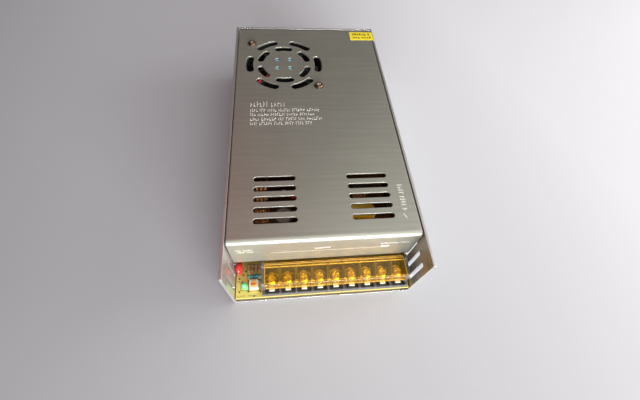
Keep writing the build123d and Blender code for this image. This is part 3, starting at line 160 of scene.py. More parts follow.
soft_lamp(
    "window", place=(0.58, -1.95, 0.30), target=(0.0, -0.05, 0.03), width=2.1, height=0.55,
    watts=130.0, colour=(1.0, 0.99, 0.97)
)
soft_lamp(
    "ceiling", place=(0.35, -0.10, 1.00), target=(0.0, 0.0, 0.05), width=0.9, height=0.9,
    watts=1.0, colour=(1.0, 0.99, 0.98)
)
soft_lamp(
    "side", place=(0.90, 0.00, 0.35), target=(0.0, 0.0, 0.0), width=0.5, height=0.5,
    watts=4.0, colour=(1.0, 1.0, 1.0)
)


# %% [markdown]
# ## Building finishes
# Every finish below is a few nodes round one Principled shader. The parts that come back in many of them,
# such as grain and softened edges, are made once as node groups with named inputs, and placed with other
# values.

# %% Helpers for materials and node groups
def principled(material):
    """A material's Principled shader."""
    return next(n for n in material.node_tree.nodes if n.type == "BSDF_PRINCIPLED")


def blank_finish(name):
    """A new material with only its Principled shader; returns the material and the shader."""
    material = bpy.data.materials.new(name)
    material.use_nodes = True
    return material, principled(material)


def new_group(name, inputs, outputs):
    """An empty node group with named number, colour or vector sockets, and its input and output nodes."""
    tree = bpy.data.node_groups.new(name, "ShaderNodeTree")
    for label, value in inputs.items():
        kind = "NodeSocketFloat" if isinstance(value, float) else "NodeSocketVector"
        socket = tree.interface.new_socket(label, in_out="INPUT", socket_type=kind)
        socket.default_value = value
    for label, kind in outputs.items():
        tree.interface.new_socket(label, in_out="OUTPUT", socket_type=kind)
    return tree, tree.nodes.new("NodeGroupInput"), tree.nodes.new("NodeGroupOutput")


def use_group(material, group, **values):
    """Places a node group in a material and sets its inputs by name."""
    made = material.node_tree.nodes.new("ShaderNodeGroup")
    made.node_tree = group
    for key, value in values.items():
        made.inputs[key.replace("_", " ").capitalize()].default_value = value
    return made


# %% Group: fine grain, as on moulded plastic, paint and paper
grain, grain_in, grain_out = new_group(
    "fine_grain",
    {"Size": 400.0, "Stretch": (1.0, 1.0, 1.0)},
    {"Fine": "NodeSocketFloat", "Broad": "NodeSocketFloat"},
)
grain_place = put(grain, "ShaderNodeTexCoord")
grain_scale = put(grain, "ShaderNodeVectorMath", operation="MULTIPLY")
grain_fine = put(grain, "ShaderNodeTexNoise", detail=4.0, roughness=0.6)
grain_broad = put(grain, "ShaderNodeTexNoise", scale=45.0, detail=2.0, roughness=0.5)
join(
    grain,
    (grain_place.outputs["Object"], grain_scale.inputs[0]),
    (grain_in.outputs["Stretch"], grain_scale.inputs[1]),
    (grain_scale.outputs[0], grain_fine.inputs["Vector"]),
    (grain_in.outputs["Size"], grain_fine.inputs["Scale"]),
    (grain_place.outputs["Object"], grain_broad.inputs["Vector"]),
    (grain_fine.outputs["Fac"], grain_out.inputs["Fine"]),
    (grain_broad.outputs["Fac"], grain_out.inputs["Broad"]),
)

# %% Group: softened and worn edges
edges, edges_in, edges_out = new_group(
    "worn_edges",
    {"Radius": 0.0003},
    {"Normal": "NodeSocketVector", "Wear": "NodeSocketFloat"},
)
edges_round = put(edges, "ShaderNodeBevel", samples=6)
edges_flat = put(edges, "ShaderNodeNewGeometry")
edges_dot = put(edges, "ShaderNodeVectorMath", operation="DOT_PRODUCT")
edges_range = put(edges, "ShaderNodeMapRange", from_min=0.999, from_max=0.90, to_min=0.0, to_max=1.0)
join(
    edges,
    (edges_in.outputs["Radius"], edges_round.inputs["Radius"]),
    (edges_round.outputs["Normal"], edges_dot.inputs[0]),
    (edges_flat.outputs["Normal"], edges_dot.inputs[1]),
    (edges_dot.outputs["Value"], edges_range.inputs["Value"]),
    (edges_round.outputs["Normal"], edges_out.inputs["Normal"]),
    (edges_range.outputs["Result"], edges_out.inputs["Wear"]),
)
print("node groups:", [g.name for g in bpy.data.node_groups])


# %% [markdown]
# ## One recipe for most finishes
# Plastic, paint and plated metal differ in numbers more than in kind: two close colours mixed by broad grain,
# a roughness that wanders with the fine grain, a slight bump, and edges worn a little paler.

# %% Recipe for a grained finish
WORN_GAIN, WORN_LIFT = 1.6, 0.05


def grained(name, colour, other, rough, size=600.0, bump=0.1, metallic=0.0, edge=0.0002, wear=0.25, **more):
    """A grained finish from two close colours and a range of roughness; more sets plain shader inputs."""
    material, shader = blank_finish(name)
    tree = material.node_tree
    grains = use_group(material, grain, size=size)
    edge_node = use_group(material, edges, radius=edge)
    body = put(tree, "ShaderNodeMix", data_type="RGBA")
    body.inputs[6].default_value = (*colour, 1)
    body.inputs[7].default_value = (*other, 1)
    worn = put(tree, "ShaderNodeMix", data_type="RGBA")
    worn.inputs[7].default_value = (*[min(1.0, c * WORN_GAIN + WORN_LIFT) for c in colour], 1)
    wear_mask = put(tree, "ShaderNodeMath", operation="MULTIPLY")
    wear_mask.inputs[1].default_value = wear
    shine = put(tree, "ShaderNodeMapRange", from_min=0.3, from_max=0.7, to_min=rough[0], to_max=rough[1])
    relief = put(tree, "ShaderNodeBump", strength=bump, distance=0.0001)
    join(
        material,
        (grains.outputs["Broad"], body.inputs[0]),
        (body.outputs[2], worn.inputs[6]),
        (edge_node.outputs["Wear"], wear_mask.inputs[0]),
        (wear_mask.outputs[0], worn.inputs[0]),
        (worn.outputs[2], shader.inputs["Base Color"]),
        (grains.outputs["Fine"], shine.inputs["Value"]),
        (shine.outputs["Result"], shader.inputs["Roughness"]),
        (grains.outputs["Fine"], relief.inputs["Height"]),
        (edge_node.outputs["Normal"], relief.inputs["Normal"]),
        (relief.outputs["Normal"], shader.inputs["Normal"]),
    )
    shader.inputs["Metallic"].default_value = metallic
    for label, value in more.items():
        shader.inputs[label.replace("_", " ").title().replace("Ior", "IOR")].default_value = value
    return material


# %% [markdown]
# ## Brushed aluminium
# The casing and cover are bare rolled sheet. Rolling leaves fine lines along the sheet, which spread
# highlights across it, so noise that is stretched one way drives the roughness and the bump, and a broader
# one the colour.

# %% Finish for the sheet metal
SHEET_METALLIC = 0.78
SHEET_EDGE, SHEET_WEAR, SHEET_WORN = 0.0003, 0.5, (0.80, 0.79, 0.76)


def brushed_sheet(name, colour, other, rough, lines, streaks, relief, smudge):
    """Rolled sheet; lines and streaks say how fine its marks are along X, Y and Z, per metre."""
    material, shader = blank_finish(name)
    tree = material.node_tree
    strokes = use_group(material, grain, size=1.0, stretch=lines)
    marks = use_group(material, grain, size=1.0, stretch=streaks)
    edge_node = use_group(material, edges, radius=SHEET_EDGE)
    tone = put(tree, "ShaderNodeMapRange", from_min=0.35, from_max=0.65, to_min=0.0, to_max=1.0)
    body = put(tree, "ShaderNodeMix", data_type="RGBA")
    body.inputs[6].default_value = (*colour, 1)
    body.inputs[7].default_value = (*other, 1)
    worn = put(tree, "ShaderNodeMix", data_type="RGBA")
    worn.inputs[7].default_value = (*SHEET_WORN, 1)
    wear_mask = put(tree, "ShaderNodeMath", operation="MULTIPLY")
    wear_mask.inputs[1].default_value = SHEET_WEAR
    shine = put(tree, "ShaderNodeMapRange", from_min=0.25, from_max=0.75, to_min=rough[0], to_max=rough[1])
    haze = put(tree, "ShaderNodeMath", operation="MULTIPLY_ADD")
    haze.inputs[1].default_value = smudge
    dents = put(tree, "ShaderNodeBump", strength=relief, distance=0.00005)
    join(
        material,
        (marks.outputs["Fine"], tone.inputs["Value"]),
        (tone.outputs["Result"], body.inputs[0]),
        (body.outputs[2], worn.inputs[6]),
        (edge_node.outputs["Wear"], wear_mask.inputs[0]),
        (wear_mask.outputs[0], worn.inputs[0]),
        (worn.outputs[2], shader.inputs["Base Color"]),
        (strokes.outputs["Fine"], shine.inputs["Value"]),
        (marks.outputs["Broad"], haze.inputs[0]),
        (shine.outputs["Result"], haze.inputs[2]),
        (haze.outputs[0], shader.inputs["Roughness"]),
        (strokes.outputs["Fine"], dents.inputs["Height"]),
        (edge_node.outputs["Normal"], dents.inputs["Normal"]),
        (dents.outputs["Normal"], shader.inputs["Normal"]),
    )
    shader.inputs["Metallic"].default_value = SHEET_METALLIC
    return material


cover_metal = brushed_sheet(
    "cover_sheet",
    colour=(0.465, 0.462, 0.405),
    other=(0.42, 0.418, 0.362),
    rough=(0.27, 0.38),
    lines=(70.0, 2600.0, 2600.0),
    streaks=(18.0, 420.0, 420.0),
    relief=0.5,
    smudge=0.10,
)
casing_metal = brushed_sheet(
    "casing_sheet",
    colour=(0.60, 0.58, 0.56),
    other=(0.53, 0.51, 0.49),
    rough=(0.20, 0.32),
    lines=(900.0, 60.0, 900.0),
    streaks=(28.0, 10.0, 28.0),
    relief=0.12,
    smudge=0.10,
)
print("sheet finishes:", cover_metal.name, casing_metal.name)

# %% [markdown]
# ## Finishes for the terminals
# The block is dark moulded plastic, the screws and clamps are nickel plated, and the lid is clear amber
# plastic. The lid's shader lets light through and tints it, so the plated screws look golden under it, as in
# the photograph. Its shadow rays pass a plain tint, since lamps don't shine through a refracting shader.

# %% Terminal finishes
block_plastic = grained(
    "block_plastic", (0.070, 0.072, 0.080), (0.095, 0.097, 0.105), (0.42, 0.58), 900.0, 0.12
)
screw_nickel = grained(
    "screw_nickel", (0.80, 0.77, 0.70), (0.68, 0.65, 0.58), (0.20, 0.32), 500.0, 0.05,
    metallic=1.0, edge=0.0005, wear=1.0
)
# painted shade: the clamp washers get a darker copy of the screws' nickel
shaded_nickel = grained(
    "shaded_nickel", (0.36, 0.34, 0.31), (0.28, 0.27, 0.25), (0.16, 0.28), 500.0, 0.05,
    metallic=1.0, edge=0.0004, wear=0.9
)
# plated tin for the terminal plates, and painted glints in the terminal screws' crosses
tin_and_glint = grained(
    "tin_and_glint", (0.95, 0.93, 0.88), (0.88, 0.86, 0.80), (0.25, 0.38), 500.0, 0.05, metallic=0.55, wear=0.1
)
amber, amber_shader = blank_finish("amber_lid")
amber_grain = use_group(amber, grain, size=90.0)
amber_gloss = put(amber.node_tree, "ShaderNodeMapRange", to_min=0.12, to_max=0.20)
amber_relief = put(amber.node_tree, "ShaderNodeBump", strength=0.012, distance=0.0002)
amber_ray = put(amber.node_tree, "ShaderNodeLightPath")
amber_pass = put(amber.node_tree, "ShaderNodeBsdfTransparent")
amber_mix = put(amber.node_tree, "ShaderNodeMixShader")
amber_end = next(n for n in amber.node_tree.nodes if n.type == "OUTPUT_MATERIAL")
join(
    amber,
    (amber_grain.outputs["Fine"], amber_gloss.inputs["Value"]),
    (amber_gloss.outputs["Result"], amber_shader.inputs["Roughness"]),
    (amber_grain.outputs["Fine"], amber_relief.inputs["Height"]),
    (amber_relief.outputs["Normal"], amber_shader.inputs["Normal"]),
    (amber_ray.outputs["Is Shadow Ray"], amber_mix.inputs[0]),
    (amber_shader.outputs["BSDF"], amber_mix.inputs[1]),
    (amber_pass.outputs["BSDF"], amber_mix.inputs[2]),
    (amber_mix.outputs["Shader"], amber_end.inputs["Surface"]),
)
amber_pass.inputs["Color"].default_value = (1.0, 0.80, 0.25, 1)
amber_shader.inputs["Base Color"].default_value = (0.94, 0.64, 0.05, 1)
amber_shader.inputs["Transmission Weight"].default_value = 0.97
amber_shader.inputs["IOR"].default_value = 1.45
amber_shader.inputs["Specular IOR Level"].default_value = 0.2
print("lid transmits", amber_shader.inputs["Transmission Weight"].default_value)

# %% [markdown]
# ## Finishes for the board and what stands on it
# The board is yellow laminate, with painted shade that turns it dark brown where it goes under the cover.
# Its parts are dipped, moulded or sleeved in plain colours, so each gets two close tones and its own gloss.
# The resistors' bands are placed along their length.

# %% Board and small parts
# painted shade: the laminate darkens to dark brown between these depths and stays dark behind them, under the
# cover
PAINTED_SHADE_FROM, PAINTED_SHADE_TO = -0.088, -0.074
laminate = grained(
    "laminate", (0.64, 0.49, 0.11), (0.70, 0.55, 0.15), (0.28, 0.42), 1500.0, 0.05, edge=0.0001
)
laminate_shader = principled(laminate)
painted_shade_place = put(laminate.node_tree, "ShaderNodeTexCoord")
painted_shade_split = put(laminate.node_tree, "ShaderNodeSeparateXYZ")
painted_shade_range = put(laminate.node_tree, "ShaderNodeMapRange", from_min=PAINTED_SHADE_FROM, from_max=PAINTED_SHADE_TO)
painted_shade_mix = put(laminate.node_tree, "ShaderNodeMix", data_type="RGBA")
painted_shade_mix.inputs[7].default_value = (0.12, 0.048, 0.018, 1)
unshaded_colour = laminate_shader.inputs["Base Color"].links[0].from_socket
join(
    laminate,
    (painted_shade_place.outputs["Object"], painted_shade_split.inputs[0]),
    (painted_shade_split.outputs["Y"], painted_shade_range.inputs["Value"]),
    (painted_shade_range.outputs["Result"], painted_shade_mix.inputs[0]),
    (unshaded_colour, painted_shade_mix.inputs[6]),
    (painted_shade_mix.outputs[2], laminate_shader.inputs["Base Color"]),
)
lamp_green = grained("lamp_green", (0.12, 0.75, 0.20), (0.20, 0.85, 0.30), (0.10, 0.2), 300.0, 0.02)
white_plastic = grained("white_plastic", (0.80, 0.78, 0.72), (0.72, 0.70, 0.64), (0.35, 0.5), 900.0, 0.08)
orange_plastic = grained("orange_plastic", (0.90, 0.36, 0.05), (0.80, 0.30, 0.04), (0.3, 0.45), 900.0, 0.06)
red_coat = grained("red_coating", (0.70, 0.03, 0.03), (0.55, 0.02, 0.02), (0.15, 0.3), 500.0, 0.10)
dark_coat = grained("dark_coating", (0.035, 0.045, 0.035), (0.06, 0.07, 0.05), (0.35, 0.5), 700.0, 0.15)
black_plastic = grained(
    "black_plastic", (0.018, 0.018, 0.020), (0.030, 0.030, 0.032), (0.38, 0.55), 900.0, 0.10
)
fan_black = grained("fan_plastic", (0.014, 0.014, 0.016), (0.022, 0.022, 0.024), (0.35, 0.5), 900.0, 0.08)
slider_red = grained("slider_red", (0.65, 0.03, 0.02), (0.55, 0.03, 0.02), (0.25, 0.4), 900.0, 0.08)
wire_red = grained("wire_red", (0.62, 0.03, 0.03), (0.5, 0.02, 0.02), (0.25, 0.35), 600.0, 0.04)
wire_black = grained("wire_black", (0.02, 0.02, 0.02), (0.03, 0.03, 0.03), (0.25, 0.35), 600.0, 0.04)
bronze_head = grained(
    "bronze_head", (0.26, 0.15, 0.09), (0.17, 0.10, 0.06), (0.22, 0.36), 500.0, 0.05, metallic=1.0
)
zinc = grained("zinc_plate", (0.70, 0.70, 0.68), (0.60, 0.60, 0.58), (0.25, 0.4), 500.0, 0.06, metallic=1.0)
clip_metal = grained(
    "clip_metal", (0.80, 0.70, 0.45), (0.70, 0.60, 0.38), (0.2, 0.35), 500.0, 0.05, metallic=1.0
)
ferrite = grained("ferrite", (0.045, 0.045, 0.05), (0.075, 0.075, 0.08), (0.45, 0.65), 700.0, 0.25)
powder_core = grained("powder_core", (0.70, 0.60, 0.12), (0.60, 0.50, 0.10), (0.35, 0.5), 500.0, 0.1)
tape_yellow = grained("winding_tape", (0.80, 0.60, 0.06), (0.72, 0.52, 0.05), (0.2, 0.35), 300.0, 0.06)
filter_yellow = grained("filter_box", (0.98, 0.60, 0.03), (0.88, 0.52, 0.03), (0.3, 0.45), 700.0, 0.08)
sleeve_brown = grained("can_sleeve", (0.085, 0.055, 0.040), (0.12, 0.085, 0.06), (0.2, 0.35), 400.0, 0.05)
tube_glass = grained("fuse_tube", (0.72, 0.74, 0.72), (0.62, 0.64, 0.62), (0.1, 0.2), 400.0, 0.03)
seal_paper = grained(
    "seal_paper", (0.90, 0.74, 0.02), (0.84, 0.68, 0.02), (0.45, 0.6), 900.0, 0.06, edge=0.00005
)
print("finishes so far:", len(bpy.data.materials))


# %% Copper windings: turns seen as fine ribs across the wire's way
def wound(name, colour, other, turns_per_metre, direction):
    """Enamelled copper with ribs, one per turn, along the given direction in Object coordinates."""
    material = grained(name, colour, other, (0.22, 0.35), 500.0, 0.06, metallic=0.85)
    tree = material.node_tree
    shader = principled(material)
    place = put(tree, "ShaderNodeTexCoord")
    ribs = put(tree, "ShaderNodeTexWave", wave_type="BANDS", bands_direction=direction, scale=turns_per_metre)
    relief = put(tree, "ShaderNodeBump", strength=0.6, distance=0.0004)
    before = shader.inputs["Normal"].links[0].from_socket
    join(
        material,
        (place.outputs["Object"], ribs.inputs["Vector"]),
        (ribs.outputs["Fac"], relief.inputs["Height"]),
        (before, relief.inputs["Normal"]),
        (relief.outputs["Normal"], shader.inputs["Normal"]),
    )
    return material


copper_wire = wound("copper_wire", (0.42, 0.19, 0.08), (0.30, 0.13, 0.05), 120.0, "X")


# %% Resistors: coloured bands along the body
def banded(name, body_colours, bands, axis, start, length):
    """A lacquered body with colour bands; start and length say where the body lies along its axis."""
    material, shader = blank_finish(name)
    tree = material.node_tree
    place = put(tree, "ShaderNodeTexCoord")
    split = put(tree, "ShaderNodeSeparateXYZ")
    along = put(tree, "ShaderNodeMapRange", from_min=start, from_max=start + length)
    ramp = put(tree, "ShaderNodeValToRGB")
    grains = use_group(material, grain, size=700.0)
    shine = put(tree, "ShaderNodeMapRange", to_min=0.12, to_max=0.3)
    ramp.color_ramp.interpolation = "CONSTANT"
    stops = ramp.color_ramp.elements
    stops[0].position, stops[0].color = 0.0, (*body_colours, 1)
    stops[1].position, stops[1].color = 0.999, (*body_colours, 1)
    for begin, width, colour in bands:
        for position, tone in ((begin, colour), (begin + width, body_colours)):
            stop = stops.new(position)
            stop.color = (*tone, 1)
    join(
        material,
        (place.outputs["Object"], split.inputs[0]),
        (split.outputs[axis], along.inputs["Value"]),
        (along.outputs["Result"], ramp.inputs["Fac"]),
        (ramp.outputs["Color"], shader.inputs["Base Color"]),
        (grains.outputs["Fine"], shine.inputs["Value"]),
        (shine.outputs["Result"], shader.inputs["Roughness"]),
    )
    return material


blue_low, blue_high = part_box("adjust_resistor")
small_low, small_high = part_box("small_resistors")
blue_length, small_length = blue_high.x - blue_low.x, small_high.y - small_low.y
BAND_BLACK = (0.02, 0.02, 0.02)
blue_bands = [(0.30, 0.06, (0.35, 0.05, 0.02)), (0.44, 0.06, BAND_BLACK), (0.58, 0.06, (0.5, 0.1, 0.02))]
beige_bands = [(0.34, 0.07, (0.35, 0.12, 0.03)), (0.48, 0.07, BAND_BLACK), (0.62, 0.07, (0.6, 0.05, 0.02))]
resistor_blue = banded(
    "resistor_blue", (0.10, 0.42, 0.50), blue_bands, "X", blue_low.x, blue_length
)
resistor_beige = banded(
    "resistor_beige", (0.62, 0.44, 0.24), beige_bands, "Y", small_low.y, small_length
)
print("resistor bodies:", round(blue_length / MM, 1), round(small_length / MM, 1), "mm")

# %% Each solid gets its finish
finishes = {
    "top_cover": cover_metal,
    "chassis": casing_metal,
    "wall_screws": zinc,
    "board_screws": zinc,
    "board_standoffs": zinc,
    "clamp_bars": zinc,
    "fan_screws": bronze_head,
    "terminal_plates": tin_and_glint,
    "fan_frame": fan_black,
    "fan_rotor": fan_black,
    "terminal_housing": block_plastic,
    "terminal_lid": amber,
    "circuit_board": laminate,
    "trimmer_body": white_plastic,
    "fan_plug": white_plastic,
    "trimmer_rotor": orange_plastic,
    "status_led": lamp_green,
    "adjust_resistor": resistor_blue,
    "small_resistors": resistor_beige,
    "disc_capacitor": red_coat,
    "thermistor": dark_coat,
    "selector_body": black_plastic,
    "selector_slider": slider_red,
    "fan_lead_red": wire_red,
    "fan_lead_black": wire_black,
    "output_choke_core": powder_core,
    "line_choke_core": ferrite,
    "transformer_core": ferrite,
    "output_choke_winding": copper_wire,
    "line_choke_windings": copper_wire,
    "transformer_winding": tape_yellow,
    "transformer_bobbin": black_plastic,
    "output_capacitors": sleeve_brown,
    "bulk_capacitors": sleeve_brown,
    "x_capacitor": filter_yellow,
    "fuse": tube_glass,
    "fuse_clips": clip_metal,
    "bridge_rectifier": black_plastic,
    "output_rectifiers": black_plastic,
    "switching_transistors": black_plastic,
    "control_ic": black_plastic,
    "seal_label": seal_paper,
}
for name, node in nodes.items():
    finish = finishes.get(name, shaded_nickel if name.startswith("clamp_washer") else screw_nickel)
    node.data.materials.clear()
    node.data.materials.append(finish)
print("solids on the nickel finishes:", sorted(set(nodes) - set(finishes))[:3], "and so on")

# %% [markdown]
# ## Thin things on the solids
# Prints, labels and pressed rows are thinner than a solid is worth. Each kind is one piece made of small
# blocks, and rides on the body that carries it, so that it moves with it. The rows are plain ticks in the
# places where such a casing is marked; no word can be read in them.

# %% Helpers for thin pieces
PRINT_DEPTH, FINE_DEPTH = 0.04, 0.06
TICK_SPACE, GROUP_SPACE, GROUP_LEAST, GROUP_MOST = 0.25, 1.1, 3, 7


def box_mm(node):
    """A solid's lowest and highest corners, in millimetres."""
    return [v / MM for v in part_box(node)]


def show(name, shape, finish, body):
    """Turns a finished shape into a piece of the scene that rides on a body."""
    mesh = bpy.data.meshes.new(name)
    shape.to_mesh(mesh)
    shape.free()
    mesh.materials.append(finish)
    piece = bpy.data.objects.new(name, mesh)
    bpy.context.scene.collection.objects.link(piece)
    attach(piece, body)
    return piece


def blocks(name, parts, finish, body="casing"):
    """One piece from blocks, each given as middle, size and turn about Z; lengths in millimetres."""
    shape = bmesh.new()
    for middle, size, turn in parts:
        place = Matrix.Translation(Vector(middle) * MM) @ Matrix.Rotation(turn, 4, "Z")
        bmesh.ops.create_cube(shape, size=1.0, matrix=place @ Matrix.Diagonal((*[v * MM for v in size], 1)))
    return show(name, shape, finish, body)


def discs(name, places, radius, thickness, finish, body="casing"):
    """One piece from flat discs that stand on the given points; lengths in millimetres."""
    shape = bmesh.new()
    for x, y, z in places:
        bmesh.ops.create_cone(
            shape,
            cap_ends=True,
            segments=40,
            radius1=radius * MM,
            radius2=radius * MM,
            depth=thickness * MM,
            matrix=Matrix.Translation(Vector((x, y, z + thickness / 2)) * MM),
        )
    return show(name, shape, finish, body)


def tick_row(seed, start, length, height, stroke, gap=0.5):
    """Ticks in groups along a row: each stroke's place along and across, width and height, in millimetres."""
    chance = random.Random(seed)
    along, strokes, group = start, [], chance.randint(GROUP_LEAST, GROUP_MOST)
    while along < start + length - stroke:
        tall = height * chance.choice((1.0, 1.0, 0.7))
        strokes.append((along, (tall - height) / 2, stroke, tall))
        bar = chance.choice((0.0, 0.8, 1.1))
        if bar:
            level = chance.choice((-0.42, 0.0, 0.42)) * tall
            strokes.append((along + bar / 2, (tall - height) / 2 + level, bar, stroke))
        along += stroke + max(bar, gap) + TICK_SPACE
        group -= 1
        if group == 0:
            group = chance.randint(GROUP_LEAST, GROUP_MOST)
            along += GROUP_SPACE
    return strokes


def lying(strokes, row, top, depth):
    """Strokes of a row that runs along X, as blocks lying on a level."""
    return [((a, row + c, top), (w, h, depth), 0.0) for a, c, w, h in strokes]


# %% Pressed rows on the cover, pale as painted highlights, and pale prints on its flange
cover_low, cover_high = box_mm("top_cover")
cover_top, flange_face = cover_high.z, cover_low.y
# painted highlight: the pressed strokes are paler than the cover sheet, standing in for the light they catch;
# the fan screw slots use it too
pressed_highlight_metal = grained(
    "pressed_highlight_metal", (0.90, 0.88, 0.83), (0.80, 0.78, 0.73), (0.30, 0.42), 900.0, 0.05,
    metallic=0.35, edge=0.0001
)
pale_print = grained(
    "pale_print", (0.84, 0.82, 0.77), (0.76, 0.74, 0.69), (0.45, 0.6), 900.0, 0.04, edge=0.0001
)
TEXT_LEFT, TITLE_ROW, TITLE_DEPTH, TEXT_DEPTH = -44.0, 16.9, 0.16, 0.14
pressed = lying(tick_row(11, TEXT_LEFT, 24.5, 5.0, 0.45, 1.5), TITLE_ROW, cover_top, TITLE_DEPTH)
for seed, row, length in ((1, 11.0, 49.0), (2, 6.8, 45.5), (3, 2.6, 50.5), (4, -1.4, 43.0)):
    pressed += lying(tick_row(seed, TEXT_LEFT, length, 2.7, 0.42), row, cover_top, TEXT_DEPTH)
blocks("pressed_rows", pressed, pressed_highlight_metal)
SIDE_X, SIDE_START, SIDE_DEPTH = 47.9, -54.5, 0.12
side_strokes = tick_row(21, 0.0, 18.0, 3.0, 0.6, 0.9)
side_rows = [
    ((SIDE_X + c, SIDE_START - a, cover_top), (h, w, SIDE_DEPTH), 0.0) for a, c, w, h in side_strokes
]
side_rows.append(((47.2, -76.0, cover_top), (0.6, 3.6, SIDE_DEPTH), 0.5))
blocks("side_row", side_rows, pressed_highlight_metal)
FLANGE_DEPTH = 0.10
flange_rows = []
flange_places = (
    (31, -51.0, 11.0, 40.5),
    (32, -50.0, 8.0, 37.5),
    (33, 33.0, 17.0, 40.2),
    (34, -6.0, 9.0, 38.4),
)
for seed, start, length, level in flange_places:
    flange_strokes = tick_row(seed, start, length, 1.6, 0.3)
    flange_rows += [((a, flange_face, level + c), (w, FLANGE_DEPTH, h), 0.0) for a, c, w, h in flange_strokes]
flange_rows.append(((4.0, flange_face, 34.6), (70.0, FINE_DEPTH, 0.16), 0.0))
flange_rows.append(((36.0, flange_face, 36.2), (5.0, FINE_DEPTH, 1.2), 0.0))
blocks("flange_rows", flange_rows, pale_print)
print("strokes on the cover:", len(pressed) + len(side_rows) + len(flange_rows))

# %% Ticks on the seal, and the label on the fan's hub seen through the middle holes
seal_low, seal_high = box_mm("seal_label")
# this black is both print and painted shade: the gap strips, head rings and screw rims use it too
print_and_shade_black = grained(
    "print_and_shade_black", (0.03, 0.03, 0.03), (0.05, 0.05, 0.045), (0.5, 0.65), 900.0, 0.04, edge=0.0001
)
SEAL_MARGIN, SEAL_ROW_LENGTH = 3.2, 15.5
seal_rows = []
for seed, level, height in ((41, 0.70, 2.6), (42, 0.28, 1.5)):
    row = seal_low.y + level * (seal_high.y - seal_low.y)
    strokes = tick_row(seed, seal_low.x + SEAL_MARGIN, SEAL_ROW_LENGTH, height, 1.0, 0.6)
    seal_rows += lying(strokes, row, seal_high.z, PRINT_DEPTH)
blocks("seal_rows", seal_rows, print_and_shade_black)
frame_low, frame_high = box_mm("fan_frame")
hub_middle = ((frame_low.x + frame_high.x) / 2, (frame_low.y + frame_high.y) / 2)
HUB_PLATE_DROP, LABEL_RADIUS, LABEL_DEPTH = 0.9, 12.5, 0.7
HUB_ROW_REACH, HUB_PRINT_DEPTH = 8.0, 0.05
hub_level = frame_high.z - HUB_PLATE_DROP
label_blue = grained(
    "label_blue", (0.22, 0.68, 1.0), (0.34, 0.78, 1.0), (0.2, 0.32), 500.0, 0.03, edge=0.0001
)
discs("hub_label", [(*hub_middle, hub_level)], LABEL_RADIUS, LABEL_DEPTH, label_blue)
hub_rows = []
for seed, row in ((51, 5.2), (52, -4.6), (53, 0.2)):
    strokes = tick_row(seed, hub_middle[0] - HUB_ROW_REACH, 2 * HUB_ROW_REACH, 1.1, 0.3)
    hub_rows += lying(strokes, hub_middle[1] + row, hub_level + LABEL_DEPTH, HUB_PRINT_DEPTH)
blocks("hub_rows", hub_rows, pale_print)
print("seal and hub strokes:", len(seal_rows), len(hub_rows))

# %% Painted glints in the crosses, and rings of painted shade under the heads of the terminal screws
way_low, way_high = box_mm("terminal_plates")
WAYS = 9
way_xs = [way_low.x + (way + 0.5) * (way_high.x - way_low.x) / WAYS for way in range(WAYS)]
CROSS_LENGTH, CROSS_WIDTH, CROSS_DEPTH, CROSS_SINK, CROSS_TURN = 3.5, 0.75, 0.5, 0.35, 0.35
RING_RADIUS, RING_LIFT = 3.3, 0.005
for way, x in enumerate(way_xs, start=1):
    low, high = box_mm(f"terminal_screw_{way}")
    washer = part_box(f"clamp_washer_{way}")[1].z / MM
    y = (low.y + high.y) / 2
    arm_sizes = ((CROSS_LENGTH, CROSS_WIDTH, CROSS_DEPTH), (CROSS_WIDTH, CROSS_LENGTH, CROSS_DEPTH))
    # painted highlight: bright blocks sunk in each head's cross stand in for its glint
    arms = [((x, y, high.z - CROSS_SINK), size, CROSS_TURN) for size in arm_sizes]
    blocks(f"screw_glint_cross_{way}", arms, tin_and_glint, f"screw_{way}")
    # painted shade: a dark ring under each head stands in for the shade it casts on the clamp
    shade_ring_place = (x, y, washer + RING_LIFT)
    discs(f"head_shade_ring_{way}", [shade_ring_place], RING_RADIUS, PRINT_DEPTH, print_and_shade_black, f"screw_{way}")
print("terminal screws dressed:", len(way_xs))

# %% Rims of painted shade under the fan's two screw heads, and painted glints in slots across them
screw_low, screw_high = box_mm("fan_screws")
HEAD_RADIUS, RIM_RADIUS = 3.1, 3.6
SLOT_LENGTH, SLOT_WIDTH, SLOT_DEPTH = 3.4, 0.8, 0.5
screw_places = [
    (screw_low.x + HEAD_RADIUS, screw_high.y - HEAD_RADIUS),
    (screw_high.x - HEAD_RADIUS, screw_low.y + HEAD_RADIUS),
]
# painted shade: dark rims round the fan's screw heads
discs("screw_shade_rims", [(x, y, cover_top) for x, y in screw_places], RIM_RADIUS, FINE_DEPTH, print_and_shade_black)
slot_sizes = ((SLOT_LENGTH, SLOT_WIDTH, SLOT_DEPTH), (SLOT_WIDTH, SLOT_LENGTH, SLOT_DEPTH))
# painted highlight: pale blocks in the head slots stand in for their glints
slot_glints = [((x, y, screw_high.z - SLOT_DEPTH), size, 0.0) for x, y in screw_places for size in slot_sizes]
blocks("screw_slot_glints", slot_glints, pressed_highlight_metal)

# %% Prints, pads and solder on the open strip of the board
board_low, board_high = box_mm("circuit_board")
board_top = board_high.z
solder = grained("solder", (0.72, 0.72, 0.70), (0.55, 0.55, 0.53), (0.2, 0.35), 700.0, 0.1, metallic=0.9)


def outline(node, margin, line=0.25):
    """Four thin blocks round a solid's footprint on the board."""
    low, high = box_mm(node)
    x, y = (low.x + high.x) / 2, (low.y + high.y) / 2
    wide, deep = high.x - low.x + 2 * margin, high.y - low.y + 2 * margin
    along_x = [((x, y + side * deep / 2, board_top), (wide, line, PRINT_DEPTH), 0.0) for side in (-1, 1)]
    along_y = [((x + side * wide / 2, y, board_top), (line, deep, PRINT_DEPTH), 0.0) for side in (-1, 1)]
    return along_x + along_y


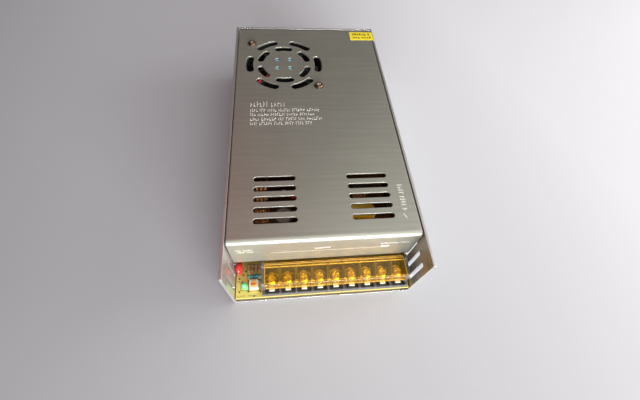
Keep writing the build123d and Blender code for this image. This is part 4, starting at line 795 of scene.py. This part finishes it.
prints = []
for node, margin in (
    ("trimmer_body", 0.7),
    ("status_led", 0.5),
    ("adjust_resistor", 0.5),
    ("small_resistors", 0.6),
):
    prints += outline(node, margin)
WAY_MARK_SHIFT, WAY_MARK_SIZE = 4.6, (0.4, 0.5, PRINT_DEPTH)
mark_y = board_low.y + WAY_MARK_SIZE[1] / 2
prints += [((x + WAY_MARK_SHIFT, mark_y, board_top), WAY_MARK_SIZE, 0.0) for x in way_xs]
for seed, start, length, row in (
    (61, -54.5, 5.0, -105.6),
    (62, -47.5, 5.5, -105.6),
    (63, -54.8, 4.0, -96.3),
):
    prints += lying(tick_row(seed, start, length, 0.9, 0.2), row, board_top, PRINT_DEPTH)
blocks("board_prints", prints, print_and_shade_black)
# painted shade: dark strips stand along both board edges, in the gaps to the side walls
SHADE_STRIP_X, SHADE_STRIP_Z, SHADE_STRIP_THICKNESS, SHADE_STRIP_HEIGHT = 55.72, 4.7, 0.4, 5.6
shade_strip_y, shade_strip_length = (board_low.y + board_high.y) / 2, board_high.y - board_low.y
shade_strip_size = (SHADE_STRIP_THICKNESS, shade_strip_length, SHADE_STRIP_HEIGHT)
gap_shade_strips = [((side * SHADE_STRIP_X, shade_strip_y, SHADE_STRIP_Z), shade_strip_size, 0.0) for side in (-1, 1)]
blocks("painted_gap_shade", gap_shade_strips, print_and_shade_black)
pad_places = [
    (x, y, board_top)
    for x, y in (
        (-47.9, -102.9), (-47.9, -96.6), (-40.4, -103.2), (-40.4, -96.4), (-51.6, -96.9), (-53.4, -103.0),
        (-51.4, -92.3), (-49.7, -89.9), (-39.2, -93.2), (-38.9, -90.6), (-53.6, -94.6), (-44.2, -105.9),
    )
]
discs("board_pads", pad_places, 0.55, FINE_DEPTH, print_and_shade_black)
TAIL_Y, JOINT_RADIUS, JOINT_DEPTH, JOINT_BOTTOM = -94.8, 1.6, 1.5, 4.4
tail_places = [(x, TAIL_Y, JOINT_BOTTOM) for x in way_xs]
discs("solder_joints", tail_places, JOINT_RADIUS, JOINT_DEPTH, solder)
print("board prints and pads:", len(prints), len(pad_places))

# %% Can tops, and painted highlights along the edges of the lid's clear plate
can_top = grained("can_top", (0.40, 0.36, 0.30), (0.33, 0.30, 0.25), (0.3, 0.42), 600.0, 0.05, metallic=0.9)
out_low, out_high = box_mm("output_capacitors")
OUTPUT_CAN, BULK_CAN, OUTPUT_TOP, BULK_TOP, VENT_LIFT = 6.25, 12.5, 5.3, 10.6, 0.07
out_places = [
    (x, y, out_high.z)
    for x in (out_low.x + OUTPUT_CAN, out_high.x - OUTPUT_CAN)
    for y in (out_low.y + OUTPUT_CAN, out_high.y - OUTPUT_CAN)
]
bulk_low, bulk_high = box_mm("bulk_capacitors")
bulk_x = (bulk_low.x + bulk_high.x) / 2
bulk_places = [(bulk_x, y, bulk_high.z) for y in (bulk_low.y + BULK_CAN, bulk_high.y - BULK_CAN)]
discs("output_can_tops", out_places, OUTPUT_TOP, FINE_DEPTH, can_top)
discs("bulk_can_tops", bulk_places, BULK_TOP, FINE_DEPTH, can_top)
vents = []
for places, vent_size in ((out_places, (8.4, 0.35, 0.05)), (bulk_places, (15.0, 0.5, 0.05))):
    vents += [((x, y, z + VENT_LIFT), vent_size, turn) for x, y, z in places for turn in (0.0, math.pi / 2)]
blocks("can_vents", vents, print_and_shade_black)

lid_low, lid_high = box_mm("terminal_lid")
lid_x, lid_width = (lid_low.x + lid_high.x) / 2, lid_high.x - lid_low.x
# painted highlight: amber strips along the lid's edges stand in for light gathered there
painted_edge_glow = grained(
    "painted_edge_glow", (1.0, 0.56, 0.08), (0.95, 0.48, 0.06), (0.12, 0.22), 400.0, 0.03, edge=0.0001
)
PIN_REACH, GLOW_MARGIN = 1.6, 0.4
plate_width = lid_width - 2 * PIN_REACH
glow_width = plate_width - GLOW_MARGIN
glow = [
    ((lid_x, lid_low.y + 1.15, lid_high.z), (glow_width, 0.22, FINE_DEPTH), 0.0),
    ((lid_x, lid_high.y - 3.2, lid_high.z), (glow_width, 0.22, FINE_DEPTH), 0.0),
    ((lid_x, lid_high.y - 1.5, lid_high.z), (glow_width, 0.30, FINE_DEPTH), 0.0),
    ((lid_x, lid_low.y, lid_low.z + 0.35), (glow_width, FINE_DEPTH, 0.35), 0.0),
    ((lid_x, lid_low.y, lid_low.z + 1.9), (glow_width, FINE_DEPTH, 0.20), 0.0),
]
SIDE_GLOW_INSET, SIDE_GLOW_MIDDLE, SIDE_GLOW_SIZE = 0.15, 7.0, (0.25, 11.5, FINE_DEPTH)
for side in (-1, 1):
    glow_x = lid_x + side * (plate_width / 2 - SIDE_GLOW_INSET)
    glow.append(((glow_x, lid_low.y + SIDE_GLOW_MIDDLE, lid_high.z), SIDE_GLOW_SIZE, 0.0))
blocks("lid_painted_highlights", glow, painted_edge_glow, "terminal_lid")
print("lid edges:", len(glow), "can tops:", len(out_places) + len(bulk_places))


# %% Leads between the inner parts, glimpsed through the vents
def lead(name, points, radius, finish):
    """A round lead through points in millimetres, drawn as a smooth curve with closed ends."""
    line = bpy.data.curves.new(name, "CURVE")
    line.dimensions = "3D"
    line.bevel_depth = radius * MM
    line.bevel_resolution = 3
    line.use_fill_caps = True
    path = line.splines.new("NURBS")
    path.points.add(len(points) - 1)
    for point, place in zip(path.points, points):
        point.co = (*[v * MM for v in place], 1.0)
    path.use_endpoint_u = True
    path.order_u = 3
    piece = bpy.data.objects.new(name, line)
    bpy.context.scene.collection.objects.link(piece)
    line.materials.append(finish)
    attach(piece, "casing")
    return piece


wire_white = grained("wire_white", (0.80, 0.78, 0.74), (0.72, 0.70, 0.66), (0.25, 0.35), 600.0, 0.04)
RED_RADIUS, WHITE_RADIUS = 0.9, 0.8
red_left = [(-26, -44, 30), (-20, -50, 33), (-12, -50, 31), (-6, -46, 30), (-2, -42, 26)]
white_left = [(-24, -42, 28), (-18, -46, 32), (-10, -54, 31), (-4, -52, 29), (0, -46, 24)]
red_right = [(14, -28, 30), (20, -34, 33), (28, -33, 33), (34, -30, 29)]
lead("lead_red_left", red_left, RED_RADIUS, wire_red)
lead("lead_white_left", white_left, WHITE_RADIUS, wire_white)
lead("lead_red_right", red_right, RED_RADIUS, wire_red)

# %% [markdown]
# ## Floor
# The object stands on a plain pale surface whose colour fades from grey at the left to near white at the
# right, painted shade that stands in for the light falling off towards the left. A large matt plane is
# enough, with a colour that changes slowly across it.

# %% Floor
FLOOR_HALF, FLOOR_DROP = 3.0, 0.0002
floor_mesh = bpy.data.meshes.new("floor")
floor_shape = bmesh.new()
bmesh.ops.create_grid(floor_shape, x_segments=1, y_segments=1, size=FLOOR_HALF)
floor_shape.to_mesh(floor_mesh)
floor_shape.free()
floor = bpy.data.objects.new("floor", floor_mesh)
floor.location.z = -FLOOR_DROP
bpy.context.scene.collection.objects.link(floor)
floor_paint, floor_shader = blank_finish("floor_paint")
floor_place = put(floor_paint.node_tree, "ShaderNodeTexCoord")
floor_way = put(floor_paint.node_tree, "ShaderNodeVectorMath", operation="DOT_PRODUCT")
floor_way.inputs[1].default_value = (1.0, 0.30, 0.0)
floor_shade_across = put(floor_paint.node_tree, "ShaderNodeMapRange", from_min=-0.25, from_max=0.25)
# painted shade: the floor is darker at the left, standing in for light that falls off there
floor_painted_shade = put(floor_paint.node_tree, "ShaderNodeMix", data_type="RGBA")
floor_painted_shade.inputs[6].default_value = (0.35, 0.355, 0.385, 1)
floor_painted_shade.inputs[7].default_value = (0.67, 0.685, 0.72, 1)
join(
    floor_paint,
    (floor_place.outputs["Object"], floor_way.inputs[0]),
    (floor_way.outputs["Value"], floor_shade_across.inputs["Value"]),
    (floor_shade_across.outputs["Result"], floor_painted_shade.inputs[0]),
    (floor_painted_shade.outputs[2], floor_shader.inputs["Base Color"]),
)
floor_shader.inputs["Roughness"].default_value = 0.9
floor_shader.inputs["Specular IOR Level"].default_value = 0.0
floor_mesh.materials.append(floor_paint)

# %% View settings
bpy.context.scene.view_settings.view_transform = "Standard"
